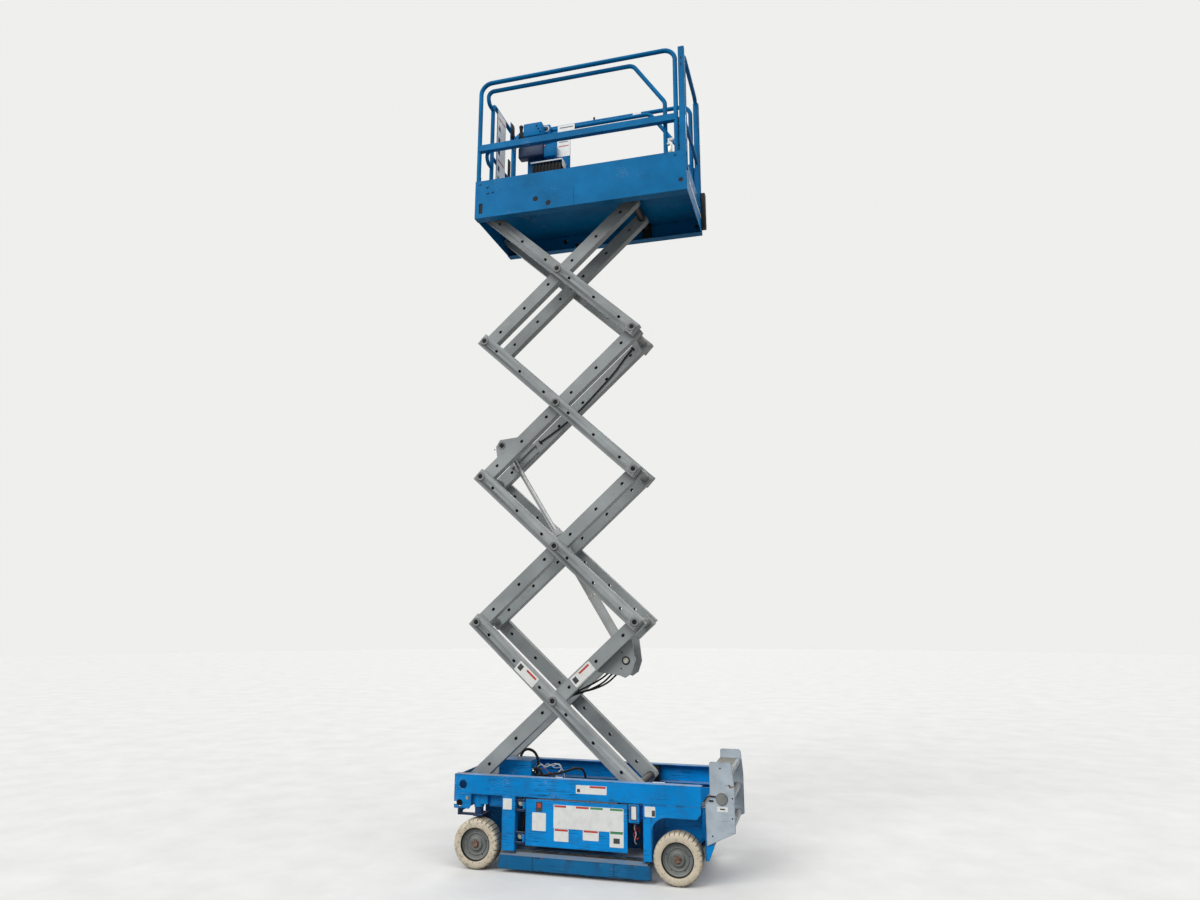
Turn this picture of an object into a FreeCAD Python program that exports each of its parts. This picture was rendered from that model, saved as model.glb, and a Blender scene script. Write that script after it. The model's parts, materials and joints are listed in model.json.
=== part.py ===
import FreeCAD, Part
import math
import os

# Self-propelled scissor lift, modelled raised. Millimetres, +Z up.
# +X points to the steered front end, +Y to the machine's left, and the origin
# lies on the floor under the middle of the overall length and width.

V = FreeCAD.Vector

# Driving sizes of the whole machine
MACHINE_LENGTH = 1830.0
MACHINE_WIDTH = 760.0
FRONT_OVERHANG = 156.0
REAR_OVERHANG = 354.0
TYRE_RADIUS = 152.5
TYRE_WIDTH = 114.0
RIM_RADIUS = 99.0

# Chassis heights and plates
RAIL_BOTTOM = 457.0
RAIL_HEIGHT = 119.0
RAIL_PLATE = 6.0
RAIL_FLANGE = 52.0
COLUMN_BOTTOM = 132.0
WHEEL_CLEARANCE = 17.5
RAIL_END_GAP = 16.0
FRAME_REACH = 140.0
SHELF_PLATE = 12.0
END_PLATE_DROP = 91.0
END_PLATE_LENGTH = 121.0
LASHING_HOLE_RADIUS = 27.0
LASHING_INSET = 61.0
LASHING_ABOVE_RAIL = 56.0

# Steered front wheels
STEER_ANGLE_ROOM = 183.0
KINGPIN_RADIUS = 19.0
STEER_ARM = 135.0
TIE_ROD_RADIUS = 11.0

# Columns and trays between the wheels
FRONT_COLUMN_WIDTH = 89.0
REAR_COLUMN_WIDTH = 50.0
REAR_COLUMN_GAP = 158.0
TRAY_HINGE_GAP = 72.0
TRAY_REAR_GAP = 100.0
TRAY_TOP_GAP = 9.0
TRAY_BOTTOM = 170.0
TRAY_DEPTH = 236.0
TRAY_PLATE = 5.0
TRAY_FLOOR_SHORTENING = 85.0
HINGE_RADIUS = 11.0

# Pothole guards under the trays
GUARD_TOP = 124.0
GUARD_BOTTOM = 24.0
GUARD_PLATE = 6.0
GUARD_FRONT_GAP = 162.0
GUARD_REAR_GAP = 160.0
GUARD_FLANGE = 28.0
GUARD_BARREL_RADIUS = 9.0
GUARD_PIN_RADIUS = 5.0

# Scissor stack
STAGES = 4
ARM_LENGTH = 1532.0
ARM_DEPTH = 95.0
ARM_WIDTH = 60.0
ARM_WALL = 5.0
ARM_END = 34.0
OUTER_ARM_FACE = 245.0
ARM_GAP = 8.0
REST_ANGLE = 42.27
PIVOT_INSET = 61.0
PIVOT_ABOVE_RAIL = 66.0
PIN_RADIUS = 19.0
PIN_SEAT = 0.1
PIN_CLEARANCE = 0.3
BOSS_RADIUS = 28.0
BOSS_PROUD = 6.0
CROSS_TUBE_RADIUS = 30.0
SHOE_HALF = 34.0

# Lift cylinder, placed in the frame of the inner arms
STOWED_ANGLE = 3.85
BASE_FROM_REAR = 240.0
BASE_DROP = 125.0
EYE_ALONG = 245.0
EYE_RISE = 117.0
BARREL_RADIUS = 35.0
BARREL_END_GAP = 68.8
ROD_RADIUS = 19.0
ROD_END_GAP = 22.0
LUG_PLATE = 12.0
LUG_OFFSET = 6.0
EYE_WIDTH = 56.0
BASE_PIN_RADIUS = 20.0

# Platform, measured from the top pivots of the stack
PLATFORM_LENGTH = 1634.0
PLATFORM_WIDTH = 740.0
DECK_ABOVE_PIVOT = 56.0
DECK_PLATE = 3.0
PANEL_BELOW_PIVOT = 87.0
PANEL_HEIGHT = 310.0
PANEL_PLATE = 5.0
PANEL_LIP = 66.0
RAIL_ABOVE_DECK = 1035.0
MID_RAIL_ABOVE_DECK = 448.0
TUBE_RADIUS = 17.0
TUBE_BEND = 90.0

# Roll-out extension
EXTENSION_HALF_WIDTH = 312.0
EXTENSION_TUBE_RADIUS = 16.0
EXTENSION_DROP = 45.0
FRONT_POST_Y = 220.0
FRONT_RAIL_DROP = 50.0
EXTENSION_BEND = 45.0
GATE_HALF = 290.0
SLIDE_GAP = 0.3

# Rear ladder
LADDER_ABOVE_RAIL = 147.0
LADDER_PLATE = 8.0
LADDER_INNER_Y = 150.0
BRACKET_REACH = 54.0
STEP_INSET = 18.0
STEP_PLATE = 3.0
STEP_NOSE = 28.0

# Values worked out from the driving sizes
X_FRONT = MACHINE_LENGTH / 2.0
X_REAR = -MACHINE_LENGTH / 2.0
HALF_WIDTH = MACHINE_WIDTH / 2.0
RAIL_TOP = RAIL_BOTTOM + RAIL_HEIGHT
PIVOT_HEIGHT = RAIL_BOTTOM + PIVOT_ABOVE_RAIL
END_PLATE_BOTTOM = RAIL_BOTTOM - END_PLATE_DROP
LASHING_Z = RAIL_BOTTOM + LASHING_ABOVE_RAIL
TRAY_TOP = RAIL_BOTTOM - TRAY_TOP_GAP
LADDER_TOP = RAIL_TOP + LADDER_ABOVE_RAIL
FRONT_AXLE_X = X_FRONT - FRONT_OVERHANG
REAR_AXLE_X = X_REAR + REAR_OVERHANG
REAR_PLATE_X = REAR_AXLE_X - TYRE_RADIUS - WHEEL_CLEARANCE
RAIL_REAR_X = REAR_PLATE_X + RAIL_END_GAP
WHEEL_Y = HALF_WIDTH - TYRE_WIDTH / 2.0
PIVOT_X = X_FRONT - PIVOT_INSET
THETA = math.radians(REST_ANGLE)
STAGE_RISE = ARM_LENGTH * math.sin(THETA)
STAGE_RUN = ARM_LENGTH * math.cos(THETA)
SLIDE_X = PIVOT_X - STAGE_RUN
TOP_PIVOT_Z = PIVOT_HEIGHT + STAGES * STAGE_RISE
INNER_ARM_FACE = OUTER_ARM_FACE - ARM_WIDTH - ARM_GAP
BASE_ALONG = ARM_LENGTH - BASE_FROM_REAR
DECK_Z = TOP_PIVOT_Z + DECK_ABOVE_PIVOT
FRONT_COLUMN_X = FRONT_AXLE_X - STEER_ANGLE_ROOM
TRAY_FRONT_X = FRONT_COLUMN_X - FRONT_COLUMN_WIDTH - TRAY_HINGE_GAP
REAR_COLUMN_X = REAR_AXLE_X + REAR_COLUMN_GAP
TRAY_REAR_X = REAR_COLUMN_X + REAR_COLUMN_WIDTH + TRAY_REAR_GAP
SIDES = (("left", 1.0), ("right", -1.0))
RAIL_INNER_Y = HALF_WIDTH - RAIL_PLATE - RAIL_FLANGE


def box(x0, x1, y0, y1, z0, z1):
    """Block between two corners, given in any order."""
    low = V(min(x0, x1), min(y0, y1), min(z0, z1))
    return Part.makeBox(abs(x1 - x0), abs(y1 - y0), abs(z1 - z0), low)


def rod_x(y, z, radius, x0, x1):
    """Round bar along X."""
    return Part.makeCylinder(radius, abs(x1 - x0), V(min(x0, x1), y, z), V(1, 0, 0))


def rod_y(x, z, radius, y0, y1):
    """Round bar along Y."""
    return Part.makeCylinder(radius, abs(y1 - y0), V(x, min(y0, y1), z), V(0, 1, 0))


def rod_z(x, y, radius, z0, z1):
    """Round bar along Z."""
    return Part.makeCylinder(radius, abs(z1 - z0), V(x, y, min(z0, z1)), V(0, 0, 1))


def plate_y(points, y0, y1):
    """Flat plate with an outline given in X and Z, standing between two Y values."""
    wire = Part.makePolygon([V(x, min(y0, y1), z) for x, z in points + points[:1]])
    return Part.Face(wire).extrude(V(0, abs(y1 - y0), 0))


def plate_x(points, x0, x1):
    """Flat section with an outline given in Y and Z, drawn out between two X values."""
    wire = Part.makePolygon([V(min(x0, x1), y, z) for y, z in points + points[:1]])
    return Part.Face(wire).extrude(V(abs(x1 - x0), 0, 0))


def plate_z(points, z0, z1):
    """Flat plate with an outline given in X and Y, lying between two Z values."""
    wire = Part.makePolygon([V(x, y, min(z0, z1)) for x, y in points + points[:1]])
    return Part.Face(wire).extrude(V(0, 0, abs(z1 - z0)))


def fuse(*solids):
    """One solid from touching ones."""
    joined = solids[0].multiFuse(list(solids[1:]))
    return joined.removeSplitter()


def mirrored(shape):
    """The same piece on the machine's other side."""
    return shape.mirror(V(0, 0, 0), V(0, 1, 0))


def on_side(shape, side):
    """A piece modelled on the left, placed on the side asked for."""
    return shape if side > 0 else mirrored(shape)


def bent_bar(points, radius, bends):
    """Round bar through the points, with an arc of its own radius at each inner one."""
    path = [V(*point) for point in points]
    edges = []
    start = path[0]
    for before, corner, after, bend in zip(path, path[1:], path[2:], bends):
        inward = (before - corner).normalize()
        outward = (after - corner).normalize()
        half = math.acos(max(-1.0, min(1.0, inward.dot(outward)))) / 2.0
        setback = bend / math.tan(half)
        middle = corner + (inward + outward).normalize() * (bend / math.sin(half) - bend)
        arc_start = corner + inward * setback
        arc_end = corner + outward * setback
        edges.append(Part.LineSegment(start, arc_start).toShape())
        edges.append(Part.Arc(arc_start, middle, arc_end).toShape())
        start = arc_end
    edges.append(Part.LineSegment(start, path[-1]).toShape())
    wire = Part.Wire(edges)
    profile = Part.Wire([Part.Circle(path[0], path[1] - path[0], radius).toShape()])
    return wire.makePipeShell([profile], True, False)


def save(name, *solids):
    """Writes one named piece, or several like pieces that don't touch."""
    shape = solids[0] if len(solids) == 1 else Part.makeCompound(list(solids))
    shape.exportStep("parts/" + name + ".step")


# Chassis side rails: channels that open inwards and guide the lower slide blocks
def side_rail():
    outer = box(RAIL_REAR_X, X_FRONT, HALF_WIDTH - RAIL_PLATE - RAIL_FLANGE, HALF_WIDTH,
                RAIL_BOTTOM, RAIL_TOP)
    channel = box(RAIL_REAR_X - 1.0, X_FRONT - RAIL_PLATE, 0.0, HALF_WIDTH - RAIL_PLATE,
                  RAIL_BOTTOM + RAIL_PLATE, RAIL_TOP - RAIL_PLATE)
    hole = rod_y(X_FRONT - LASHING_INSET, LASHING_Z, LASHING_HOLE_RADIUS,
                 HALF_WIDTH - RAIL_PLATE - 1.0, HALF_WIDTH + 1.0)
    return outer.cut(channel).cut(hole)


# Front side plates with a second lashing hole open to the front edge
def end_plate():
    lower_z = END_PLATE_BOTTOM + 33.0
    blank = plate_y([
        (X_FRONT, RAIL_BOTTOM),
        (X_FRONT, END_PLATE_BOTTOM + 6.0),
        (X_FRONT - 6.0, END_PLATE_BOTTOM),
        (X_FRONT - END_PLATE_LENGTH + 14.0, END_PLATE_BOTTOM),
        (X_FRONT - END_PLATE_LENGTH, END_PLATE_BOTTOM + 22.0),
        (X_FRONT - END_PLATE_LENGTH, RAIL_BOTTOM)], HALF_WIDTH - RAIL_PLATE, HALF_WIDTH)
    hole = rod_y(X_FRONT - 40.0, lower_z, 21.0, 0.0, HALF_WIDTH + 1.0)
    slot = box(X_FRONT - 40.0, X_FRONT + 1.0, 0.0, HALF_WIDTH + 1.0, lower_z - 9.0, lower_z + 9.0)
    return blank.cut(hole).cut(slot)


# Columns between the wheels and the trays
def column(x_low, width):
    side = RAIL_INNER_Y
    shell = box(x_low, x_low + width, side, HALF_WIDTH, COLUMN_BOTTOM, RAIL_BOTTOM)
    hollow = box(x_low + RAIL_PLATE, x_low + width - RAIL_PLATE, side - 1.0,
                 HALF_WIDTH - RAIL_PLATE, COLUMN_BOTTOM + RAIL_PLATE, RAIL_BOTTOM + 1.0)
    return shell.cut(hollow)


# Skirt over the rear wheel: a curved cut-out and a sloped tail
def rear_skirt():
    front = REAR_COLUMN_X
    rear = RAIL_REAR_X + 3.0
    top = RAIL_BOTTOM
    low_z = RAIL_BOTTOM - 71.0
    arch_start = V(front, 0.0, COLUMN_BOTTOM + 160.0)
    arch_middle = V(front - 33.0, 0.0, low_z - 24.0)
    arch_end = V(front - 105.0, 0.0, low_z)
    outline = [
        Part.LineSegment(V(front, 0, top), arch_start).toShape(),
        Part.Arc(arch_start, arch_middle, arch_end).toShape(),
        Part.LineSegment(arch_end, V(rear + 28.0, 0, low_z)).toShape(),
        Part.LineSegment(V(rear + 28.0, 0, low_z), V(rear, 0, low_z + 32.0)).toShape(),
        Part.LineSegment(V(rear, 0, low_z + 32.0), V(rear, 0, top)).toShape(),
        Part.LineSegment(V(rear, 0, top), V(front, 0, top)).toShape()]
    skirt = Part.Face(Part.Wire(outline)).extrude(V(0, RAIL_PLATE, 0))
    skirt.translate(V(0, HALF_WIDTH - RAIL_PLATE, 0))
    return skirt


WELL_Y = 134.0
WELL_PLATE = 6.0
BEAM_BOTTOM = RAIL_BOTTOM - 65.0
PANEL_DROP = 14.0
WELL_TOP = RAIL_BOTTOM - 87.0
DRIVE_WALL_Y = 146.0
DRIVE_FLOOR_GAP = 10.0
DRIVE_WALL_REACH = 32.0
BULKHEAD_X = FRONT_COLUMN_X - 60.0
REAR_BULKHEAD_X = REAR_COLUMN_X + 20.0


# Front cross beam over the steered wheels, with the two kingpin sleeves and a panel behind each wheel's top
def front_beam():
    beam = box(FRONT_AXLE_X - 70.0, FRONT_AXLE_X + 70.0, -RAIL_INNER_Y - 30.0, RAIL_INNER_Y + 30.0,
               BEAM_BOTTOM, RAIL_BOTTOM)
    well = box(FRONT_AXLE_X - 62.0, FRONT_AXLE_X + 62.0, -WHEEL_Y + 45.0, WHEEL_Y - 45.0,
               BEAM_BOTTOM - 1.0, RAIL_BOTTOM - 8.0)
    beam = beam.cut(well)
    for _, side in SIDES:
        beam = beam.fuse(rod_z(FRONT_AXLE_X, side * WHEEL_Y, KINGPIN_RADIUS + 14.0,
                               BEAM_BOTTOM - 18.0, RAIL_BOTTOM))
        beam = beam.cut(rod_z(FRONT_AXLE_X, side * WHEEL_Y, KINGPIN_RADIUS + PIN_CLEARANCE,
                              BEAM_BOTTOM - 19.0, RAIL_BOTTOM - 6.0))
        beam = beam.fuse(box(FRONT_COLUMN_X, FRONT_AXLE_X - 70.0, side * RAIL_INNER_Y,
                             side * (RAIL_INNER_Y + RAIL_PLATE), BEAM_BOTTOM - PANEL_DROP, RAIL_BOTTOM))
    return beam


# Cross plates that tie the two sides together
def cross_plates():
    front = box(X_FRONT - RAIL_PLATE, X_FRONT, -RAIL_INNER_Y, RAIL_INNER_Y,
                RAIL_BOTTOM - 40.0, RAIL_TOP - 10.0)
    inner = HALF_WIDTH - LADDER_PLATE
    rear = box(REAR_PLATE_X - RAIL_PLATE, REAR_PLATE_X, -inner, inner, COLUMN_BOTTOM + 26.0,
               RAIL_BOTTOM)
    shelf = box(REAR_PLATE_X, REAR_AXLE_X - FRAME_REACH, -inner, inner,
                RAIL_BOTTOM - SHELF_PLATE, RAIL_BOTTOM)
    rear = fuse(rear, shelf)
    bulkhead = box(BULKHEAD_X - WELL_PLATE, BULKHEAD_X, -RAIL_INNER_Y, RAIL_INNER_Y,
                   COLUMN_BOTTOM + WELL_PLATE, RAIL_BOTTOM)
    rear_bulkhead = box(REAR_BULKHEAD_X, REAR_BULKHEAD_X + WELL_PLATE,
                        -RAIL_INNER_Y, RAIL_INNER_Y, COLUMN_BOTTOM + WELL_PLATE, WELL_TOP - 3.0)
    return front, rear, bulkhead, rear_bulkhead


# Belly plate with the two walls of the middle well that the folded stack drops into, and the floor and
# walls of the drive compartment between the front wheels, which stop behind the tie rod
def belly():
    floor = box(REAR_BULKHEAD_X - 20.0, FRONT_COLUMN_X, -RAIL_INNER_Y, RAIL_INNER_Y,
                COLUMN_BOTTOM, COLUMN_BOTTOM + WELL_PLATE)
    shell = [floor]
    for _, side in SIDES:
        shell.append(box(REAR_BULKHEAD_X + WELL_PLATE, BULKHEAD_X - WELL_PLATE,
                         side * (WELL_Y - WELL_PLATE), side * WELL_Y,
                         COLUMN_BOTTOM + WELL_PLATE, WELL_TOP))
    drive_floor = box(FRONT_COLUMN_X, X_FRONT - DRIVE_FLOOR_GAP, -DRIVE_WALL_Y, DRIVE_WALL_Y,
                      COLUMN_BOTTOM, COLUMN_BOTTOM + WELL_PLATE)
    walls = []
    for _, side in SIDES:
        walls.append(box(BULKHEAD_X, FRONT_AXLE_X + DRIVE_WALL_REACH, side * (DRIVE_WALL_Y - WELL_PLATE),
                         side * DRIVE_WALL_Y, COLUMN_BOTTOM + WELL_PLATE, BEAM_BOTTOM))
    return [fuse(*shell), drive_floor] + walls


STUB_RADIUS = 22.0
FRAME_FOOT = 50.0
FRAME_DROP = 55.0
REAR_FRAME_Y = WHEEL_Y - TYRE_WIDTH / 2.0 - 22.0


# Rear axle: two frame plates that hang from the rails, joined by a tube, with stub ends
def rear_axle():
    pieces = [rod_y(REAR_AXLE_X, TYRE_RADIUS, 40.0, -REAR_FRAME_Y, REAR_FRAME_Y)]
    for _, side in SIDES:
        pieces.append(plate_y([
            (REAR_AXLE_X + FRAME_REACH - 30.0, RAIL_BOTTOM),
            (REAR_AXLE_X + FRAME_REACH - 50.0, TYRE_RADIUS - 20.0),
            (REAR_AXLE_X + FRAME_FOOT, TYRE_RADIUS - FRAME_DROP),
            (REAR_AXLE_X - FRAME_FOOT, TYRE_RADIUS - FRAME_DROP),
            (REAR_AXLE_X - FRAME_REACH + 20.0, TYRE_RADIUS + 20.0),
            (REAR_AXLE_X - FRAME_REACH, RAIL_BOTTOM - SHELF_PLATE),
            (REAR_AXLE_X - FRAME_REACH, RAIL_BOTTOM)],
            side * (REAR_FRAME_Y - 12.0), side * REAR_FRAME_Y))
        pieces.append(rod_y(REAR_AXLE_X, TYRE_RADIUS, STUB_RADIUS,
                            side * (REAR_FRAME_Y - 12.0), side * (WHEEL_Y + 20.0)))
    return fuse(*pieces)


# Ladder: two tapered side plates with steps between them, and a foot bolted low down
def ladder():
    near = plate_y([
        (RAIL_REAR_X - 22.0, RAIL_BOTTOM + 24.0),
        (RAIL_REAR_X - 52.0, RAIL_BOTTOM + 52.0),
        (RAIL_REAR_X - 52.0, LADDER_TOP - 8.0),
        (RAIL_REAR_X - 60.0, LADDER_TOP),
        (X_REAR + 22.0, LADDER_TOP),
        (X_REAR + 12.0, LADDER_TOP - 12.0),
        (X_REAR, LADDER_TOP - 150.0),
        (X_REAR, RAIL_BOTTOM - 132.0),
        (RAIL_REAR_X - 28.0, RAIL_BOTTOM - 213.0)], HALF_WIDTH - LADDER_PLATE, HALF_WIDTH)
    far = near.copy()
    far.translate(V(0, -(HALF_WIDTH + LADDER_INNER_Y), 0))
    steps = []
    for height in (LADDER_TOP - 55.0, RAIL_TOP - 60.0, RAIL_BOTTOM - 105.0):
        steps.append(box(X_REAR + STEP_INSET, REAR_PLATE_X - BRACKET_REACH - 2.0, -LADDER_INNER_Y,
                         HALF_WIDTH - LADDER_PLATE, height - STEP_PLATE, height))
        steps.append(box(X_REAR + STEP_INSET, X_REAR + STEP_INSET + STEP_PLATE, -LADDER_INNER_Y,
                         HALF_WIDTH - LADDER_PLATE, height - STEP_NOSE, height - STEP_PLATE))
    return fuse(near, far, *steps)


def ladder_bracket():
    """Blue brackets from the chassis rear into the ladder plates."""
    pieces = []
    for y in (HALF_WIDTH - LADDER_PLATE - 8.0, -LADDER_INNER_Y):
        pieces.append(plate_y([
            (REAR_PLATE_X - RAIL_PLATE, RAIL_BOTTOM),
            (REAR_PLATE_X - RAIL_PLATE, COLUMN_BOTTOM + 26.0),
            (REAR_PLATE_X - 20.0, COLUMN_BOTTOM + 26.0),
            (REAR_PLATE_X - BRACKET_REACH, COLUMN_BOTTOM + 105.0),
            (REAR_PLATE_X - BRACKET_REACH, RAIL_BOTTOM)], y, y + LADDER_PLATE))
    return pieces


# Brackets and pin on which the stack's lowest inner arms turn
def base_brackets():
    pieces = []
    for _, side in SIDES:
        ear = plate_y([
            (PIVOT_X - 55.0, RAIL_BOTTOM),
            (PIVOT_X - 30.0, PIVOT_HEIGHT + 34.0),
            (PIVOT_X + 30.0, PIVOT_HEIGHT + 34.0),
            (X_FRONT - RAIL_PLATE, PIVOT_HEIGHT + 20.0),
            (X_FRONT - RAIL_PLATE, RAIL_BOTTOM)],
            side * (INNER_ARM_FACE + 1.0), side * (INNER_ARM_FACE + 13.0))
        pin = rod_y(PIVOT_X, PIVOT_HEIGHT, PIN_RADIUS,
                    side * (INNER_ARM_FACE - ARM_WIDTH), side * (INNER_ARM_FACE + 1.0))
        pieces.append(fuse(ear, pin))
    return pieces


VALVE_LENGTH = 235.0
VALVE_WIDTH = 170.0
VALVE_ABOVE_RAIL = 50.0


def valve_block():
    """Cover of the valves and pump beside the front pivot, seen over the rail."""
    front = FRONT_AXLE_X - 29.0
    right = -VALVE_WIDTH / 2.0 - 15.0
    return box(front - VALVE_LENGTH, front, right, right + VALVE_WIDTH,
               RAIL_BOTTOM, RAIL_TOP + VALVE_ABOVE_RAIL)


def switch_box():
    """Small box at the rear of the left tray."""
    x_high = TRAY_REAR_X - 8.0
    case = box(x_high - 66.0, x_high, HALF_WIDTH - 66.0, HALF_WIDTH - 2.0,
               TRAY_TOP - 103.0, TRAY_TOP + 4.0)
    bracket = box(REAR_COLUMN_X + REAR_COLUMN_WIDTH, x_high - 66.0, HALF_WIDTH - 50.0,
                  HALF_WIDTH - 44.0, TRAY_TOP - 90.0, TRAY_TOP - 10.0)
    return fuse(case, bracket)


# Arms of the stack
def arm(outer, round_front, round_rear):
    """Hollow arm lying along -X from its front pivot at the origin."""
    half = ARM_DEPTH / 2.0
    y_out = OUTER_ARM_FACE if outer else INNER_ARM_FACE
    y_in = y_out - ARM_WIDTH
    tube = box(-ARM_LENGTH - ARM_END, ARM_END, y_in, y_out, -half, half)
    for flag, x, sense in ((round_front, 0.0, 1.0), (round_rear, -ARM_LENGTH, -1.0)):
        if flag:
            corner = box(x, x + sense * ARM_END, y_in, y_out, -half, half)
            tube = tube.cut(corner.cut(rod_y(x, 0.0, half, y_in, y_out)))
    core_half = half - ARM_WALL
    gap = BOSS_RADIUS + ARM_WALL
    middle = -ARM_LENGTH / 2.0
    for x0, x1 in ((-ARM_LENGTH + gap, middle - gap), (middle + gap, -gap)):
        tube = tube.cut(box(x0, x1, y_in + ARM_WALL, y_out - ARM_WALL, -core_half, core_half))
    for x in (0.0, middle, -ARM_LENGTH):
        fixed = not outer and not (round_rear and x < middle)
        radius = PIN_RADIUS + (PIN_SEAT if fixed else PIN_CLEARANCE)
        if outer:
            tube = tube.fuse(rod_y(x, 0.0, BOSS_RADIUS, y_out, y_out + BOSS_PROUD))
        tube = tube.cut(rod_y(x, 0.0, radius, y_in - 1.0, y_out + BOSS_PROUD + 1.0))
    return tube.removeSplitter()


def raised(shape, x, z, degrees):
    """A piece modelled along -X from the origin, turned up and moved to its pivot."""
    placed = shape.copy()
    placed.rotate(V(0, 0, 0), V(0, 1, 0), degrees)
    placed.translate(V(x, 0, z))
    return placed


def arm_pair(outer, stage, round_front, round_rear):
    """Left and right arms of one stage, at rest."""
    if outer:
        z = PIVOT_HEIGHT + stage * STAGE_RISE
        turn = -REST_ANGLE
    else:
        z = PIVOT_HEIGHT + (stage - 1) * STAGE_RISE
        turn = REST_ANGLE
    left = raised(arm(outer, round_front, round_rear), PIVOT_X, z, turn)
    return left, mirrored(left)


def cross_shaft(x, z, reach, tube_y):
    """Shaft through both sides of the stack with a thicker tube between the inner arms."""
    shaft = rod_y(x, z, PIN_RADIUS, -reach, reach)
    shaft = shaft.fuse(rod_y(x, z, CROSS_TUBE_RADIUS, -tube_y, tube_y))
    for side in (1.0, -1.0):
        shaft = shaft.cut(rod_y(x, z, PIN_RADIUS - 7.0, side * (reach - 14.0), side * (reach + 1.0)))
    return shaft


def centre_pins(stage):
    """Short pins at the crossing of a stage."""
    x = PIVOT_X - STAGE_RUN / 2.0
    z = PIVOT_HEIGHT + (stage - 0.5) * STAGE_RISE
    reach = OUTER_ARM_FACE + BOSS_PROUD
    pins = []
    for _, side in SIDES:
        pin = rod_y(x, z, PIN_RADIUS, side * (INNER_ARM_FACE - ARM_WIDTH), side * reach)
        pin = pin.cut(rod_y(x, z, PIN_RADIUS - 7.0, side * (reach - 14.0), side * (reach + 1.0)))
        pins.append(pin)
    return pins


INNER_Y = INNER_ARM_FACE - ARM_WIDTH
SHAFT_REACH = OUTER_ARM_FACE + BOSS_PROUD
TUBE_Y = INNER_Y - PIN_SEAT


def lower_shoes():
    """Shaft and blocks that run in the chassis rails under the outer arms."""
    y_out = HALF_WIDTH - RAIL_PLATE - 2.0
    below = PIVOT_HEIGHT - RAIL_BOTTOM - RAIL_PLATE - SLIDE_GAP
    above = RAIL_TOP - RAIL_PLATE - PIVOT_HEIGHT - 5.0
    shaft = rod_y(SLIDE_X, PIVOT_HEIGHT, PIN_RADIUS, -y_out, y_out)
    tube = rod_y(SLIDE_X, PIVOT_HEIGHT, CROSS_TUBE_RADIUS, -OUTER_ARM_FACE + ARM_WIDTH + PIN_SEAT,
                 OUTER_ARM_FACE - ARM_WIDTH - PIN_SEAT)
    pieces = [shaft, tube]
    for _, side in SIDES:
        pieces.append(box(SLIDE_X - SHOE_HALF, SLIDE_X + SHOE_HALF, side * (RAIL_INNER_Y - 4.0), side * y_out,
                          PIVOT_HEIGHT - below, PIVOT_HEIGHT + above))
    return fuse(*pieces)


def upper_shoes():
    """Shaft and blocks of the top inner arms, which run in the platform's side channels."""
    y_out = PLATFORM_WIDTH / 2.0 - PANEL_PLATE - 2.0
    below = PANEL_BELOW_PIVOT - PANEL_PLATE - SLIDE_GAP
    above = DECK_ABOVE_PIVOT - DECK_PLATE - 5.0
    shaft = rod_y(SLIDE_X, TOP_PIVOT_Z, PIN_RADIUS, -y_out, y_out)
    pieces = [shaft, rod_y(SLIDE_X, TOP_PIVOT_Z, CROSS_TUBE_RADIUS, -TUBE_Y, TUBE_Y)]
    for _, side in SIDES:
        pieces.append(box(SLIDE_X - SHOE_HALF, SLIDE_X + SHOE_HALF, side * (y_out - 54.0), side * y_out,
                          TOP_PIVOT_Z - below, TOP_PIVOT_Z + above))
    return fuse(*pieces)


# Lift cylinder and its lugs
def in_inner_arm(stage, along, rise, angle=THETA):
    """Place of a point given along and above an inner arm's centre line."""
    x = PIVOT_X - along * math.cos(angle) + rise * math.sin(angle)
    z = (PIVOT_HEIGHT + (stage - 1) * ARM_LENGTH * math.sin(angle) + along * math.sin(angle)
         + rise * math.cos(angle))
    return x, z


def pin_distance(angle):
    """Distance between the cylinder's two pins with the arms at an angle."""
    base_x, base_z = in_inner_arm(1, BASE_ALONG, -BASE_DROP, angle)
    eye_x, eye_z = in_inner_arm(3, EYE_ALONG, EYE_RISE, angle)
    return math.hypot(eye_x - base_x, eye_z - base_z)


BARREL_LENGTH = pin_distance(math.radians(STOWED_ANGLE)) - BARREL_END_GAP
ROD_LENGTH = BARREL_LENGTH - ROD_END_GAP


LUG_OUT = INNER_Y - LUG_OFFSET
LUG_IN = LUG_OUT - LUG_PLATE


def lug(outline, stage, weld_start, weld_end):
    """Plate carried off the inner face of an inner arm by a weld strip."""
    half = ARM_DEPTH / 2.0
    plate = plate_y([(-along, rise) for along, rise in outline], LUG_IN, LUG_OUT)
    strip = box(-weld_end, -weld_start, LUG_OUT, INNER_Y, -half + 12.0, half - 12.0)
    z = PIVOT_HEIGHT + (stage - 1) * STAGE_RISE
    return raised(fuse(plate, strip), PIVOT_X, z, REST_ANGLE)


def base_lugs():
    """Hanging triangular plates with the through pin of the barrel."""
    edge = -ARM_DEPTH / 2.0
    outline = [
        (BASE_ALONG - 197.0, edge + 30.0),
        (BASE_ALONG - 197.0, edge - 4.0),
        (BASE_ALONG - 97.0, -BASE_DROP - 45.0),
        (BASE_ALONG - 80.0, -BASE_DROP - 80.0),
        (BASE_ALONG - 30.0, -BASE_DROP - 87.0),
        (BASE_ALONG + 38.0, -BASE_DROP - 50.0),
        (BASE_ALONG + 120.0, edge - 12.0),
        (BASE_ALONG + 120.0, edge + 30.0)]
    left = lug(outline, 1, BASE_ALONG - 182.0, BASE_ALONG + 108.0)
    x, z = in_inner_arm(1, BASE_ALONG, -BASE_DROP)
    pin = rod_y(x, z, BASE_PIN_RADIUS, -LUG_OUT - 4.0, LUG_OUT + 4.0)
    return fuse(left, mirrored(left), pin)


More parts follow.
